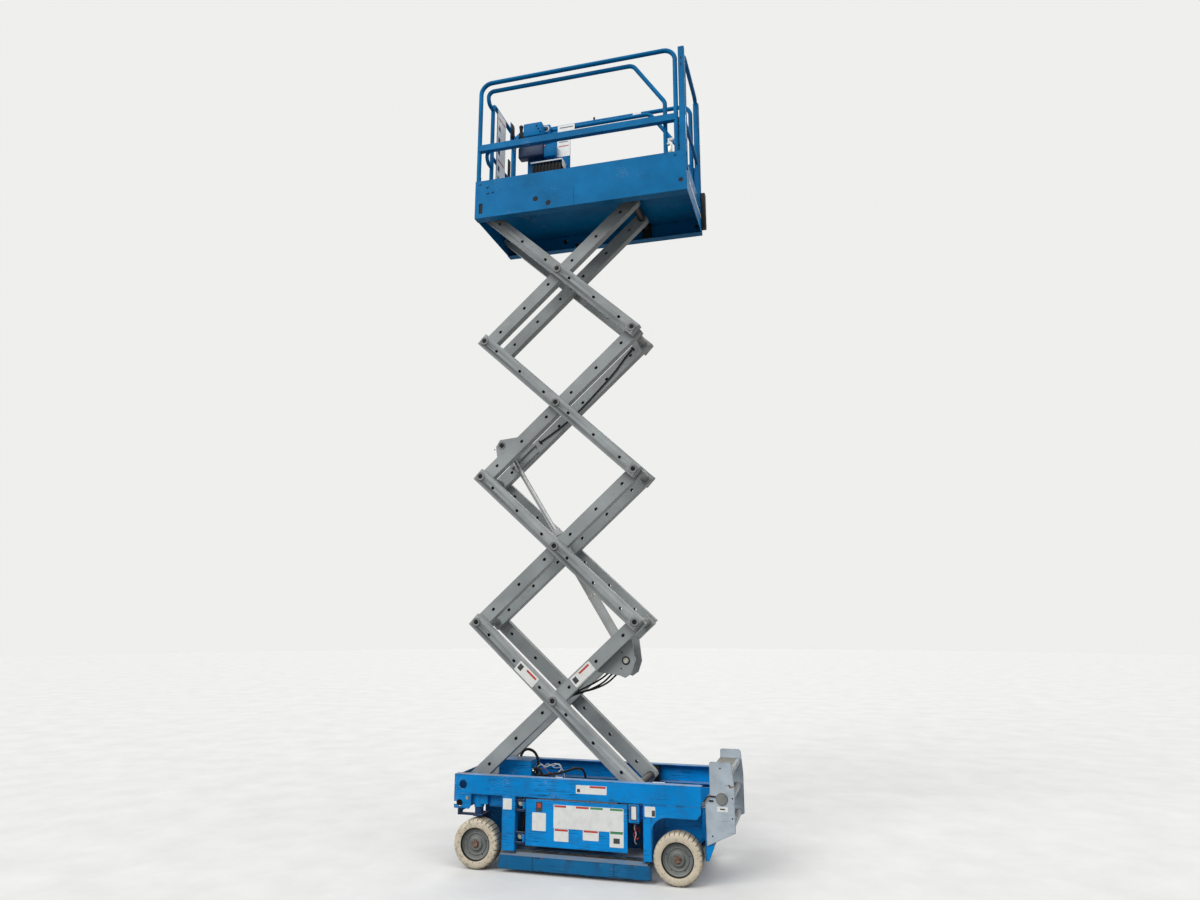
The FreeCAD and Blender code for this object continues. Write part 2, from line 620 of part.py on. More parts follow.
def eye_lugs():
    """Standing plates with a short pin each, which leave a gap for the rod's eye."""
    edge = ARM_DEPTH / 2.0
    outline = [
        (EYE_ALONG - 95.0, edge - 30.0),
        (EYE_ALONG - 87.0, edge + 25.0),
        (EYE_ALONG - 40.0, EYE_RISE + 25.0),
        (EYE_ALONG + 17.0, EYE_RISE + 43.0),
        (EYE_ALONG + 147.0, edge + 16.0),
        (EYE_ALONG + 165.0, edge - 30.0)]
    x, z = in_inner_arm(3, EYE_ALONG, EYE_RISE)
    pin = rod_y(x, z, BASE_PIN_RADIUS, EYE_WIDTH / 2.0 + 6.0, LUG_OUT)
    left = fuse(lug(outline, 3, EYE_ALONG - 80.0, EYE_ALONG + 150.0), pin)
    return left, mirrored(left)


def along_cylinder(distance):
    """Point on the cylinder's line at a distance from its base pin, at rest."""
    base_x, base_z = in_inner_arm(1, BASE_ALONG, -BASE_DROP)
    eye_x, eye_z = in_inner_arm(3, EYE_ALONG, EYE_RISE)
    length = math.hypot(eye_x - base_x, eye_z - base_z)
    share = distance / length
    return V(base_x + (eye_x - base_x) * share, 0.0, base_z + (eye_z - base_z) * share), length


def cylinder_barrel():
    start, _ = along_cylinder(30.0)
    end, _ = along_cylinder(BARREL_LENGTH)
    bottom, _ = along_cylinder(60.0)
    direction = end - start
    tube = Part.makeCylinder(BARREL_RADIUS, direction.Length, start, direction)
    gland_start, _ = along_cylinder(BARREL_LENGTH - 50.0)
    gland = Part.makeCylinder(BARREL_RADIUS + 5.0, 50.0, gland_start, direction)
    pin_at, _ = along_cylinder(0.0)
    eye = rod_y(pin_at.x, pin_at.z, BARREL_RADIUS + 3.0, -EYE_WIDTH / 2.0, EYE_WIDTH / 2.0)
    body = fuse(tube, gland, eye)
    bore = Part.makeCylinder(ROD_RADIUS + 1.0, (end - bottom).Length + 1.0, bottom, direction)
    pin_hole = rod_y(pin_at.x, pin_at.z, BASE_PIN_RADIUS + PIN_CLEARANCE, -100.0, 100.0)
    return body.cut(bore).cut(pin_hole)


def cylinder_rod():
    _, length = along_cylinder(0.0)
    eye_at, _ = along_cylinder(length)
    tail, _ = along_cylinder(length - ROD_LENGTH)
    direction = eye_at - tail
    bar = Part.makeCylinder(ROD_RADIUS, direction.Length, tail, direction)
    eye = rod_y(eye_at.x, eye_at.z, BARREL_RADIUS - 1.0, -EYE_WIDTH / 2.0, EYE_WIDTH / 2.0)
    return fuse(bar, eye)


# Platform
def at_platform():
    """Front and rear ends of the platform's side panels."""
    front = X_FRONT - 1.5
    return front, front - PLATFORM_LENGTH


PANEL_OUT = PLATFORM_WIDTH / 2.0
PANEL_TOP_Z = TOP_PIVOT_Z - PANEL_BELOW_PIVOT + PANEL_HEIGHT
PANEL_BOTTOM_Z = TOP_PIVOT_Z - PANEL_BELOW_PIVOT


def side_panel():
    """Toe board and deck channel of one side."""
    front, rear = at_platform()
    web = box(rear, front, PANEL_OUT - PANEL_PLATE, PANEL_OUT, PANEL_BOTTOM_Z, PANEL_TOP_Z)
    lip = box(rear, front, PANEL_OUT - PANEL_LIP, PANEL_OUT - PANEL_PLATE,
              PANEL_BOTTOM_Z, PANEL_BOTTOM_Z + PANEL_PLATE)
    panel = fuse(web, lip)
    for back, up, radius in ((491.0, 95.0, 20.0), (593.0, 49.0, 20.0), (1591.0, 81.0, 16.0)):
        panel = panel.cut(rod_y(front - back, PANEL_BOTTOM_Z + up, radius, 0.0, PANEL_OUT + 1.0))
    slot = box(front - 62.0, front - 34.0, 0.0, PANEL_OUT + 1.0,
               PANEL_BOTTOM_Z + 36.0, PANEL_BOTTOM_Z + 118.0)
    return panel.cut(slot)


def deck():
    """Deck plate with its two end members and the brackets of the top pivots."""
    front, rear = at_platform()
    inner = PANEL_OUT - PANEL_PLATE
    plate = box(rear, front, -inner, inner, DECK_Z - DECK_PLATE, DECK_Z)
    rear_member = box(rear, rear + 4.0, -inner, inner, PANEL_BOTTOM_Z + PANEL_PLATE + 1.0,
                      DECK_Z - DECK_PLATE)
    front_member = box(front - 6.0, front, -inner, inner, PANEL_BOTTOM_Z + PANEL_PLATE + 1.0,
                       DECK_Z - DECK_PLATE)
    pieces = [plate, rear_member, front_member]
    for _, side in SIDES:
        ear = plate_y([
            (PIVOT_X - 60.0, DECK_Z - DECK_PLATE),
            (PIVOT_X - 26.0, TOP_PIVOT_Z - 34.0),
            (PIVOT_X + 26.0, TOP_PIVOT_Z - 34.0),
            (PIVOT_X + 50.0, DECK_Z - DECK_PLATE)],
            side * (SHAFT_REACH + 1.0), side * (SHAFT_REACH + 13.0))
        pin = rod_y(PIVOT_X, TOP_PIVOT_Z, PIN_RADIUS, side * (OUTER_ARM_FACE - ARM_WIDTH),
                    side * (SHAFT_REACH + 1.0))
        pieces.append(ear)
        pieces.append(pin)
    return fuse(*pieces)


RAIL_Y = PANEL_OUT - TUBE_RADIUS
TOP_RAIL_Z = DECK_Z + RAIL_ABOVE_DECK - TUBE_RADIUS
MID_RAIL_Z = DECK_Z + MID_RAIL_ABOVE_DECK


REAR_POST_WIDTH = 44.0


def guard_rail():
    """Side hoop with its mid rail, standing on the side panel."""
    front, rear = at_platform()
    front_x = front - TUBE_RADIUS
    rear_x = rear + REAR_POST_WIDTH + 9.0 + TUBE_RADIUS
    y = RAIL_Y
    hoop = bent_bar([(front_x, y, PANEL_TOP_Z), (front_x, y, TOP_RAIL_Z),
                     (rear_x, y, TOP_RAIL_Z), (rear_x, y, PANEL_TOP_Z)], TUBE_RADIUS, [TUBE_BEND] * 2)
    mid = box(rear_x, front_x, y - 19.0, y + 19.0, MID_RAIL_Z - 26.0, MID_RAIL_Z + 26.0)
    return fuse(hoop, mid)


def rear_frame():
    """Rear posts, each with a web plate down to the side panel; the right one carries the gate's hinges."""
    front, rear = at_platform()
    x = rear + TUBE_RADIUS
    pieces = []
    for _, side in SIDES:
        post = box(rear, rear + REAR_POST_WIDTH, side * (RAIL_Y - TUBE_RADIUS), side * (RAIL_Y + TUBE_RADIUS),
                   PANEL_TOP_Z, TOP_RAIL_Z)
        post = post.fuse(box(rear + REAR_POST_WIDTH, rear + REAR_POST_WIDTH + 8.7, side * (RAIL_Y - 2.0),
                             side * (RAIL_Y + 2.0), PANEL_TOP_Z, MID_RAIL_Z))
        if side < 0:
            for z in (MID_RAIL_Z - 200.0, MID_RAIL_Z + 320.0):
                post = post.fuse(box(x - 8.0, x + 8.0, -RAIL_Y, -GATE_HALF - 16.0 - SLIDE_GAP,
                                     z - 20.0, z + 20.0))
        pieces.append(post)
    return pieces


def gate():
    """Rear gate: a hoop with a mid bar and a kick plate, hinged on the right post."""
    front, rear = at_platform()
    x = rear + TUBE_RADIUS
    low = DECK_Z + 60.0
    radius = 16.0
    hoop = bent_bar([(x, -GATE_HALF, low), (x, -GATE_HALF, TOP_RAIL_Z - 6.0),
                     (x, GATE_HALF, TOP_RAIL_Z - 6.0), (x, GATE_HALF, low)], radius, [60.0] * 2)
    mid = rod_y(x, MID_RAIL_Z, 14.0, -GATE_HALF, GATE_HALF)
    kick = box(x - 3.0, x + 3.0, -GATE_HALF, GATE_HALF, DECK_Z + 20.0, DECK_Z + 150.0)
    return fuse(hoop, mid, kick)


# Roll-out extension
EXT_DECK_Z = DECK_Z + 12.0


def extension_deck():
    front, rear = at_platform()
    x0 = rear + 120.0
    x1 = front - 8.0
    half = EXTENSION_HALF_WIDTH + 28.0
    plate = box(x0, x1, -half, half, EXT_DECK_Z - 5.0, EXT_DECK_Z)
    pieces = [plate]
    for _, side in SIDES:
        pieces.append(box(x0, x0 + 90.0, side * (half - 40.0), side * half,
                          DECK_Z + SLIDE_GAP, EXT_DECK_Z - 5.0))
        pieces.append(box(x1 - 90.0, x1, side * (half - 40.0), side * half,
                          DECK_Z + SLIDE_GAP, EXT_DECK_Z - 5.0))
    return fuse(*pieces)


def extension_side():
    """Side hoop and mid rail of the extension; both end in a bend against the front hoop's post."""
    front, rear = at_platform()
    y = EXTENSION_HALF_WIDTH
    post = FRONT_POST_Y + EXTENSION_TUBE_RADIUS + PIN_CLEARANCE
    top = TOP_RAIL_Z - EXTENSION_DROP
    mid = MID_RAIL_Z + 10.0
    x_rear = rear + 158.0
    x_front = front - 62.0
    bar = bent_bar([(x_rear, y, EXT_DECK_Z), (x_rear, y, EXT_DECK_Z + 605.0),
                    (x_rear + 240.0, y, top), (x_front, y, top), (x_front, y, top - 100.0),
                    (x_front, post, top - 100.0)],
                   EXTENSION_TUBE_RADIUS, [70.0, 70.0, EXTENSION_BEND, EXTENSION_BEND])
    low = bent_bar([(x_rear, y, mid), (x_front, y, mid), (x_front, y, mid - 95.0),
                    (x_front, post, mid - 95.0)],
                   EXTENSION_TUBE_RADIUS - 2.0, [EXTENSION_BEND, EXTENSION_BEND])
    return fuse(bar, low)


def extension_front():
    """Front hoop with its mid rail, toe board, notice board and the plate that hooks over it."""
    front, rear = at_platform()
    x = front - 62.0
    top = TOP_RAIL_Z - EXTENSION_DROP - FRONT_RAIL_DROP
    half = EXTENSION_HALF_WIDTH - EXTENSION_TUBE_RADIUS - PIN_CLEARANCE
    hoop = bent_bar([(x, FRONT_POST_Y, EXT_DECK_Z), (x, FRONT_POST_Y, top), (x, -FRONT_POST_Y, top),
                     (x, -FRONT_POST_Y, EXT_DECK_Z)], EXTENSION_TUBE_RADIUS, [40.0] * 2)
    mid = rod_y(x, MID_RAIL_Z + 10.0, EXTENSION_TUBE_RADIUS - 2.0, -FRONT_POST_Y, FRONT_POST_Y)
    toe = box(x - 3.0, x + 3.0, -half, half, EXT_DECK_Z, EXT_DECK_Z + 150.0)
    board = box(x - 17.0, x - 12.0, -10.0, 165.0, EXT_DECK_Z + 170.0, top - 4.0)
    plate = box(x - 20.0, x - 14.0, -195.0, -110.0, top - 170.0, top + 55.0)
    return fuse(hoop, mid, toe, board, plate)


CONSOLE_FROM_FRONT = 168.0
CONSOLE_LENGTH = 165.0
CONSOLE_DEPTH = 120.0
CONSOLE_HEIGHT = 125.0
LOWER_BOX_LENGTH = 230.0
OUTLET_LENGTH = 270.0
STATION_PLATE = 6.0


def control_box():
    """Control station on the extension's right rail: back plate, console, lower box and outlet box."""
    front, _ = at_platform()
    top = TOP_RAIL_Z - EXTENSION_DROP
    back = -EXTENSION_HALF_WIDTH + 14.3
    face = back + STATION_PLATE
    console_front = front - CONSOLE_FROM_FRONT
    console_low = top + 12.0 - CONSOLE_HEIGHT
    lower_front = console_front + 60.0
    outlet_front = lower_front - 130.0
    plate = box(console_front - 305.0, console_front, back, face,
                MID_RAIL_Z + 90.0, top - EXTENSION_TUBE_RADIUS - 8.0)
    console = box(console_front - CONSOLE_LENGTH, console_front, face, face + CONSOLE_DEPTH,
                  console_low, console_low + CONSOLE_HEIGHT - 1.0)
    lower = box(lower_front - LOWER_BOX_LENGTH, lower_front, face, face + CONSOLE_DEPTH - 20.0,
                console_low - 187.0, console_low - 67.0)
    outlet = box(outlet_front - OUTLET_LENGTH, outlet_front, face, face + CONSOLE_DEPTH - 22.0,
                 console_low - 360.0, console_low - 250.0)
    hook = box(console_front - 305.0, console_front - 245.0, back, face,
               MID_RAIL_Z - 4.0, MID_RAIL_Z + 90.0)
    return fuse(plate, console, lower, outlet, hook)


# Swing-out trays
TRAY_Y = HALF_WIDTH - 2.0
HINGE_X = TRAY_FRONT_X + 14.0
HINGE_Y = HALF_WIDTH - 16.0


def tray():
    """Door panel with a floor, a front wall, a back wall and its hinge barrels."""
    floor_rear = TRAY_REAR_X + TRAY_FLOOR_SHORTENING
    inner = TRAY_Y - TRAY_DEPTH
    panel = box(TRAY_REAR_X, TRAY_FRONT_X, TRAY_Y - TRAY_PLATE, TRAY_Y, TRAY_BOTTOM, TRAY_TOP)
    floor = box(floor_rear, TRAY_FRONT_X - 20.0, inner, TRAY_Y - TRAY_PLATE,
                TRAY_BOTTOM, TRAY_BOTTOM + TRAY_PLATE)
    front = box(TRAY_FRONT_X - 25.0, TRAY_FRONT_X - 20.0, inner, TRAY_Y - TRAY_PLATE,
                TRAY_BOTTOM + TRAY_PLATE, TRAY_BOTTOM + 190.0)
    back = box(floor_rear, TRAY_FRONT_X - 20.0, inner, inner + TRAY_PLATE,
               TRAY_BOTTOM + TRAY_PLATE, TRAY_BOTTOM + 90.0)
    pieces = [panel, floor, front, back]
    for height in (TRAY_BOTTOM + 40.0, TRAY_TOP - 45.0):
        pieces.append(rod_z(HINGE_X, HINGE_Y, HINGE_RADIUS, height - 22.0, height + 22.0))
        pieces.append(box(TRAY_FRONT_X - 4.0, HINGE_X, HINGE_Y - 4.0, HINGE_Y + 4.0,
                          height - 20.0, height + 20.0))
        pieces.append(box(TRAY_FRONT_X - 4.0, TRAY_FRONT_X, HINGE_Y - 4.0, TRAY_Y - TRAY_PLATE,
                          height - 20.0, height + 20.0))
    body = fuse(*pieces)
    for height in (TRAY_BOTTOM + 40.0, TRAY_TOP - 45.0):
        body = body.cut(rod_z(HINGE_X, HINGE_Y, 6.0 + PIN_CLEARANCE, height - 23.0, height + 23.0))
    return body


def hinge_posts():
    """Pins and leaves of the tray hinges on the front column."""
    pieces = []
    column_rear = FRONT_COLUMN_X - FRONT_COLUMN_WIDTH
    for height in (TRAY_BOTTOM + 40.0, TRAY_TOP - 45.0):
        pin = rod_z(HINGE_X, HINGE_Y, 6.0, height - 36.0, height + 36.0)
        leaves = [pin]
        for z0 in (height - 36.0, height + 24.0):
            leaves.append(box(HINGE_X - 8.0, column_rear, HINGE_Y - 6.0, HINGE_Y + 6.0, z0, z0 + 12.0))
        pieces.append(fuse(*leaves))
    return pieces


def tray_load(z_top):
    """Plain block for what the tray carries."""
    floor_rear = TRAY_REAR_X + TRAY_FLOOR_SHORTENING
    inner = TRAY_Y - TRAY_DEPTH + TRAY_PLATE
    return box(floor_rear + 10.0, TRAY_FRONT_X - 35.0, inner + 6.0, TRAY_Y - TRAY_PLATE - 20.0,
               TRAY_BOTTOM + TRAY_PLATE, z_top)


# Pothole guards
GUARD_FACE_Y = HALF_WIDTH - 4.0
GUARD_HINGE_Y = GUARD_FACE_Y - GUARD_PLATE - GUARD_FLANGE + GUARD_BARREL_RADIUS
GUARD_HINGE_Z = GUARD_TOP - GUARD_BARREL_RADIUS
GUARD_SLOPE = 18.0
GUARD_LIP = 12.0


def pothole_guard():
    """Guard plate with rounded lower corners and a sloping top flange that ends in a hinge barrel."""
    front = FRONT_AXLE_X - GUARD_FRONT_GAP
    rear = REAR_AXLE_X + GUARD_REAR_GAP
    inner = GUARD_FACE_Y - GUARD_PLATE
    fold = GUARD_TOP - GUARD_SLOPE
    plate = plate_y([
        (front, GUARD_BOTTOM + 14.0), (front - 4.0, fold),
        (rear + 8.0, fold), (rear, GUARD_BOTTOM + 14.0), (rear + 4.0, GUARD_BOTTOM + 4.0),
        (rear + 14.0, GUARD_BOTTOM), (front - 14.0, GUARD_BOTTOM), (front - 4.0, GUARD_BOTTOM + 4.0)],
        inner, GUARD_FACE_Y)
    lip = plate_x([
        (GUARD_FACE_Y, fold), (GUARD_FACE_Y - GUARD_LIP, fold + GUARD_LIP),
        (GUARD_FACE_Y - GUARD_LIP, fold + GUARD_LIP - 8.0), (inner, fold - 2.0)], rear + 24.0, front - 12.0)
    x0 = REAR_COLUMN_X + REAR_COLUMN_WIDTH + 3.0
    x1 = FRONT_COLUMN_X - FRONT_COLUMN_WIDTH - 3.0
    flange = plate_x([
        (GUARD_FACE_Y, fold), (GUARD_FACE_Y - GUARD_SLOPE, GUARD_TOP), (GUARD_HINGE_Y, GUARD_TOP),
        (GUARD_HINGE_Y, GUARD_TOP - GUARD_PLATE), (GUARD_FACE_Y - GUARD_SLOPE - 2.0, GUARD_TOP - GUARD_PLATE),
        (inner, fold - 2.0)], x0, x1)
    barrel = rod_x(GUARD_HINGE_Y, GUARD_HINGE_Z, GUARD_BARREL_RADIUS, x0, x1)
    guard = fuse(plate, lip, flange, barrel)
    for x in (x0, x1):
        guard = guard.cut(rod_x(GUARD_HINGE_Y, GUARD_HINGE_Z, GUARD_PIN_RADIUS + PIN_CLEARANCE,
                                x - 45.0, x + 45.0))
    return guard


def guard_hinges():
    """Ears under the columns, each with a pin that enters a guard's barrel."""
    pieces = []
    for x, sense in ((REAR_COLUMN_X + REAR_COLUMN_WIDTH, 1.0),
                     (FRONT_COLUMN_X - FRONT_COLUMN_WIDTH, -1.0)):
        ear = box(x - sense * 10.0, x - sense * 2.0, GUARD_HINGE_Y - 8.0, GUARD_HINGE_Y + 4.0,
                  GUARD_HINGE_Z - 6.5, COLUMN_BOTTOM)
        pin = rod_x(GUARD_HINGE_Y, GUARD_HINGE_Z, GUARD_PIN_RADIUS, x - sense * 2.0,
                    x + sense * 40.0)
        pieces.append(fuse(ear, pin))
    return pieces


# Steered front wheels
YOKE_Z = 2.0 * TYRE_RADIUS + 12.0
YOKE_Y = WHEEL_Y - TYRE_WIDTH / 2.0 - 10.0
TIE_ROD_RISE = 28.0


def knuckle():
    """Kingpin, top plate, inner plate, spindle and forward steering arm."""
    top = plate_z([
        (FRONT_AXLE_X - 45.0, YOKE_Y - 14.0), (FRONT_AXLE_X + 45.0, YOKE_Y - 14.0),
        (FRONT_AXLE_X + 30.0, WHEEL_Y + 30.0), (FRONT_AXLE_X - 30.0, WHEEL_Y + 30.0)],
        YOKE_Z, YOKE_Z + 12.0)
    inner = box(FRONT_AXLE_X - 45.0, FRONT_AXLE_X + 45.0, YOKE_Y - 14.0, YOKE_Y,
                TYRE_RADIUS - 50.0, YOKE_Z)
    king = rod_z(FRONT_AXLE_X, WHEEL_Y, KINGPIN_RADIUS, YOKE_Z, RAIL_BOTTOM - 12.0)
    collar = rod_z(FRONT_AXLE_X, WHEEL_Y, KINGPIN_RADIUS + 9.0, YOKE_Z, BEAM_BOTTOM - 20.0)
    steer = box(FRONT_AXLE_X, FRONT_AXLE_X + STEER_ARM, WHEEL_Y - 13.0, WHEEL_Y + 13.0,
                YOKE_Z, YOKE_Z + 12.0)
    tip = rod_z(FRONT_AXLE_X + STEER_ARM, WHEEL_Y, 17.0, YOKE_Z, YOKE_Z + 12.0)
    ball = rod_z(FRONT_AXLE_X + STEER_ARM, WHEEL_Y, 8.0, YOKE_Z + 12.0, YOKE_Z + 42.0)
    spindle = rod_y(FRONT_AXLE_X, TYRE_RADIUS, STUB_RADIUS, YOKE_Y - 1.0, WHEEL_Y + 20.0)
    motor = rod_y(FRONT_AXLE_X, TYRE_RADIUS, 42.0, YOKE_Y - 62.0, YOKE_Y - 14.0)
    return fuse(top, inner, king, collar, steer, tip, ball, spindle, motor)


def tie_rod():
    x = FRONT_AXLE_X + STEER_ARM
    z = YOKE_Z + TIE_ROD_RISE
    bar = rod_y(x, z, TIE_ROD_RADIUS, -WHEEL_Y, WHEEL_Y)
    pieces = [bar]
    for _, side in SIDES:
        pieces.append(rod_z(x, side * WHEEL_Y, 17.0, z - 12.0, z + 12.0))
    body = fuse(*pieces)
    for _, side in SIDES:
        body = body.cut(rod_z(x, side * WHEEL_Y, 8.0 + PIN_CLEARANCE, z - 20.0, z + 20.0))
    return body


def ring_y(x, y_low, width, outer, inner, bevel):
    """Ring about a Y axis at wheel height, bevelled at its outer edges."""
    half = [
        (inner, 0.0), (outer - bevel, 0.0), (outer, bevel),
        (outer, width - bevel), (outer - bevel, width), (inner, width)]
    wire = Part.makePolygon([V(x + r, y_low + y, TYRE_RADIUS) for r, y in half + half[:1]])
    return Part.Face(wire).revolve(V(x, 0, TYRE_RADIUS), V(0, 1, 0), 360.0)


def tyre(x, side):
    low = side * WHEEL_Y - TYRE_WIDTH / 2.0
    return ring_y(x, low, TYRE_WIDTH, TYRE_RADIUS, RIM_RADIUS, 10.0)


def rim(x, side):
    """Dished wheel centre with a bore for its stub."""
    outer_face = WHEEL_Y + TYRE_WIDTH / 2.0 - 14.0
    disc = rod_y(x, TYRE_RADIUS, RIM_RADIUS, WHEEL_Y - 38.0, outer_face)
    dish = rod_y(x, TYRE_RADIUS, RIM_RADIUS - 12.0, outer_face - 12.0, outer_face + 1.0)
    back = rod_y(x, TYRE_RADIUS, RIM_RADIUS - 12.0, WHEEL_Y - 39.0, WHEEL_Y + 6.0)
    hub = rod_y(x, TYRE_RADIUS, 38.0, WHEEL_Y - 38.0, outer_face + 4.0)
    body = fuse(disc.cut(dish).cut(back), hub)
    body = body.cut(rod_y(x, TYRE_RADIUS, STUB_RADIUS + PIN_CLEARANCE, WHEEL_Y - 60.0, WHEEL_Y + 20.5))
    return on_side(body, side)


def build_chassis():
    for name, maker in (("side_rails", side_rail), ("end_plates", end_plate),
                        ("rear_skirts", rear_skirt)):
        piece = maker()
        save(name, piece, mirrored(piece))
    columns = []
    for x_low, width in ((FRONT_COLUMN_X - FRONT_COLUMN_WIDTH, FRONT_COLUMN_WIDTH),
                         (REAR_COLUMN_X, REAR_COLUMN_WIDTH)):
        piece = column(x_low, width)
        columns += [piece, mirrored(piece)]
    save("columns", *columns)
    for name, maker in (("tray_hinges", hinge_posts), ("guard_hinges", guard_hinges)):
        hinges = maker()
        save(name, *(hinges + [mirrored(piece) for piece in hinges]))
    save("front_beam", front_beam())
    save("cross_plates", *cross_plates())
    save("belly", *belly())
    save("rear_axle", rear_axle())
    save("ladder", ladder())
    save("ladder_brackets", *ladder_bracket())
    save("base_brackets", *base_brackets())
    save("valve_block", valve_block())
    save("switch_box", switch_box())


def build_stack():
    for stage in range(1, STAGES + 1):
        save("inner_arms_%d" % stage, *arm_pair(False, stage, stage == 1, stage == STAGES))
        save("outer_arms_%d" % stage, *arm_pair(True, stage, stage == STAGES, stage == 1))
        pins = centre_pins(stage)
        if stage > 1:
            pins.append(cross_shaft(PIVOT_X, PIVOT_HEIGHT + (stage - 1) * STAGE_RISE,
                                    SHAFT_REACH, TUBE_Y))
        if stage < STAGES:
            pins.append(cross_shaft(SLIDE_X, PIVOT_HEIGHT + stage * STAGE_RISE,
                                    SHAFT_REACH, TUBE_Y))
        save("pins_%d" % stage, *pins)
    save("lower_shoes", lower_shoes())
    save("upper_shoes", upper_shoes())
    save("cylinder_base_lugs", base_lugs())
    save("cylinder_eye_lugs", *eye_lugs())
    save("cylinder_barrel", cylinder_barrel())
    save("cylinder_rod", cylinder_rod())


def build_platform():
    save("deck", deck())
    panel = side_panel()
    save("side_panels", panel, mirrored(panel))
    hoop = guard_rail()
    save("guard_rails", hoop, mirrored(hoop))
    save("rear_posts", *rear_frame())
    save("gate", gate())
    save("extension_deck", extension_deck())
    side = extension_side()
    save("extension_rails", side, mirrored(side))
    save("extension_front", extension_front())
    save("control_box", control_box())


def build_running_gear():
    for name, side in SIDES:
        save("tray_" + name, on_side(tray(), side))
        save("pothole_guard_" + name, on_side(pothole_guard(), side))
        save("knuckle_" + name, on_side(knuckle(), side))
        for end, x in (("front", FRONT_AXLE_X), ("rear", REAR_AXLE_X)):
            save("tyre_%s_%s" % (end, name), tyre(x, side))
            save("rim_%s_%s" % (end, name), rim(x, side))
    save("battery_block", tray_load(TRAY_TOP - 20.0))
    save("hydraulic_block", mirrored(tray_load(TRAY_TOP - 60.0)))
    save("tie_rod", tie_rod())


os.makedirs("parts", exist_ok=True)
build_chassis()
build_stack()
build_platform()
build_running_gear()
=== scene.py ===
import json
import math
import random

import bmesh
import bpy
from mathutils import Matrix, Vector


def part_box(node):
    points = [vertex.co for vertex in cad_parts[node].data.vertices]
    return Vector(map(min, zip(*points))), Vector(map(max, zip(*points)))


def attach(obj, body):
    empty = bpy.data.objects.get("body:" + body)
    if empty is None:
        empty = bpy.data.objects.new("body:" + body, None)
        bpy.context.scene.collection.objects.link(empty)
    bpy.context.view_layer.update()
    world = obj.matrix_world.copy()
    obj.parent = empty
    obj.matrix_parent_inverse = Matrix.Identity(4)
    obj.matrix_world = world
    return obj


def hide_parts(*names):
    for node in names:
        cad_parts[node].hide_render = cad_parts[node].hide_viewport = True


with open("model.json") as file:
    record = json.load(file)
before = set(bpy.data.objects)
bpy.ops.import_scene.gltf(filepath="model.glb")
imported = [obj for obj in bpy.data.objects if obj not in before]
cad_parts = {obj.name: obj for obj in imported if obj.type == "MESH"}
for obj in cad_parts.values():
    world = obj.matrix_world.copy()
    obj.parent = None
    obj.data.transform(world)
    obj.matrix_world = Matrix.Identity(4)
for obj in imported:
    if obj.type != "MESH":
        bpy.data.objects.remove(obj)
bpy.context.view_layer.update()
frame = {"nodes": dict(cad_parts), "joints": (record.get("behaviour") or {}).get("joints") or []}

bl_info = {
    "name": "Scissor Lift Dress",
    "version": (1, 0, 0),
    "blender": (4, 5, 0),
    "location": "3D View > Sidebar > Scissor Lift",
    "description": "Finishes and fittings for a raised slab scissor lift",
    "category": "Object",
}

JOINTS = {joint["name"]: joint for joint in frame["joints"]}
PIVOT = Vector(JOINTS["lift"]["pos_m"])
STAGE_RISE = JOINTS["front_1"]["pos_m"][2] - PIVOT.z
STAGE_RUN = PIVOT.x - JOINTS["lower_shoe"]["pos_m"][0]
LIFT_ANGLE = math.atan2(STAGE_RISE, STAGE_RUN)
ARM_LENGTH = math.hypot(STAGE_RISE, STAGE_RUN)
STAGES = 4

NEAR_RAIL_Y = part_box("side_rails")[1].y
TRAY_FACE_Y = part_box("tray_left")[1].y
# faces of the arms, without the bosses that stand on them
OUTER_ARM_Y = 0.245
INNER_ARM_Y = 0.177
BOSS_HEIGHT = 0.006

NEAR = (0, 1, 0)
FAR = (0, -1, 0)
REAR = (-1, 0, 0)
UP = (0, 0, 1)
SIDES = ((1, NEAR), (-1, FAR))


def linear(hex_colour):
    """sRGB hex to linear red, green and blue."""
    channels = [int(hex_colour[i:i + 2], 16) / 255 for i in (0, 2, 4)]
    return tuple(c / 12.92 if c <= 0.04045 else ((c + 0.055) / 1.055) ** 2.4 for c in channels)


def colour(name, description, hex_colour):
    return bpy.props.FloatVectorProperty(name=name, description=description, subtype="COLOR", size=3,
                                         min=0.0, max=1.0, default=linear(hex_colour))


def length(name, description, metres, most=0.5):
    return bpy.props.FloatProperty(name=name, description=description, subtype="DISTANCE", unit="LENGTH",
                                   min=0.0, max=most, default=metres)


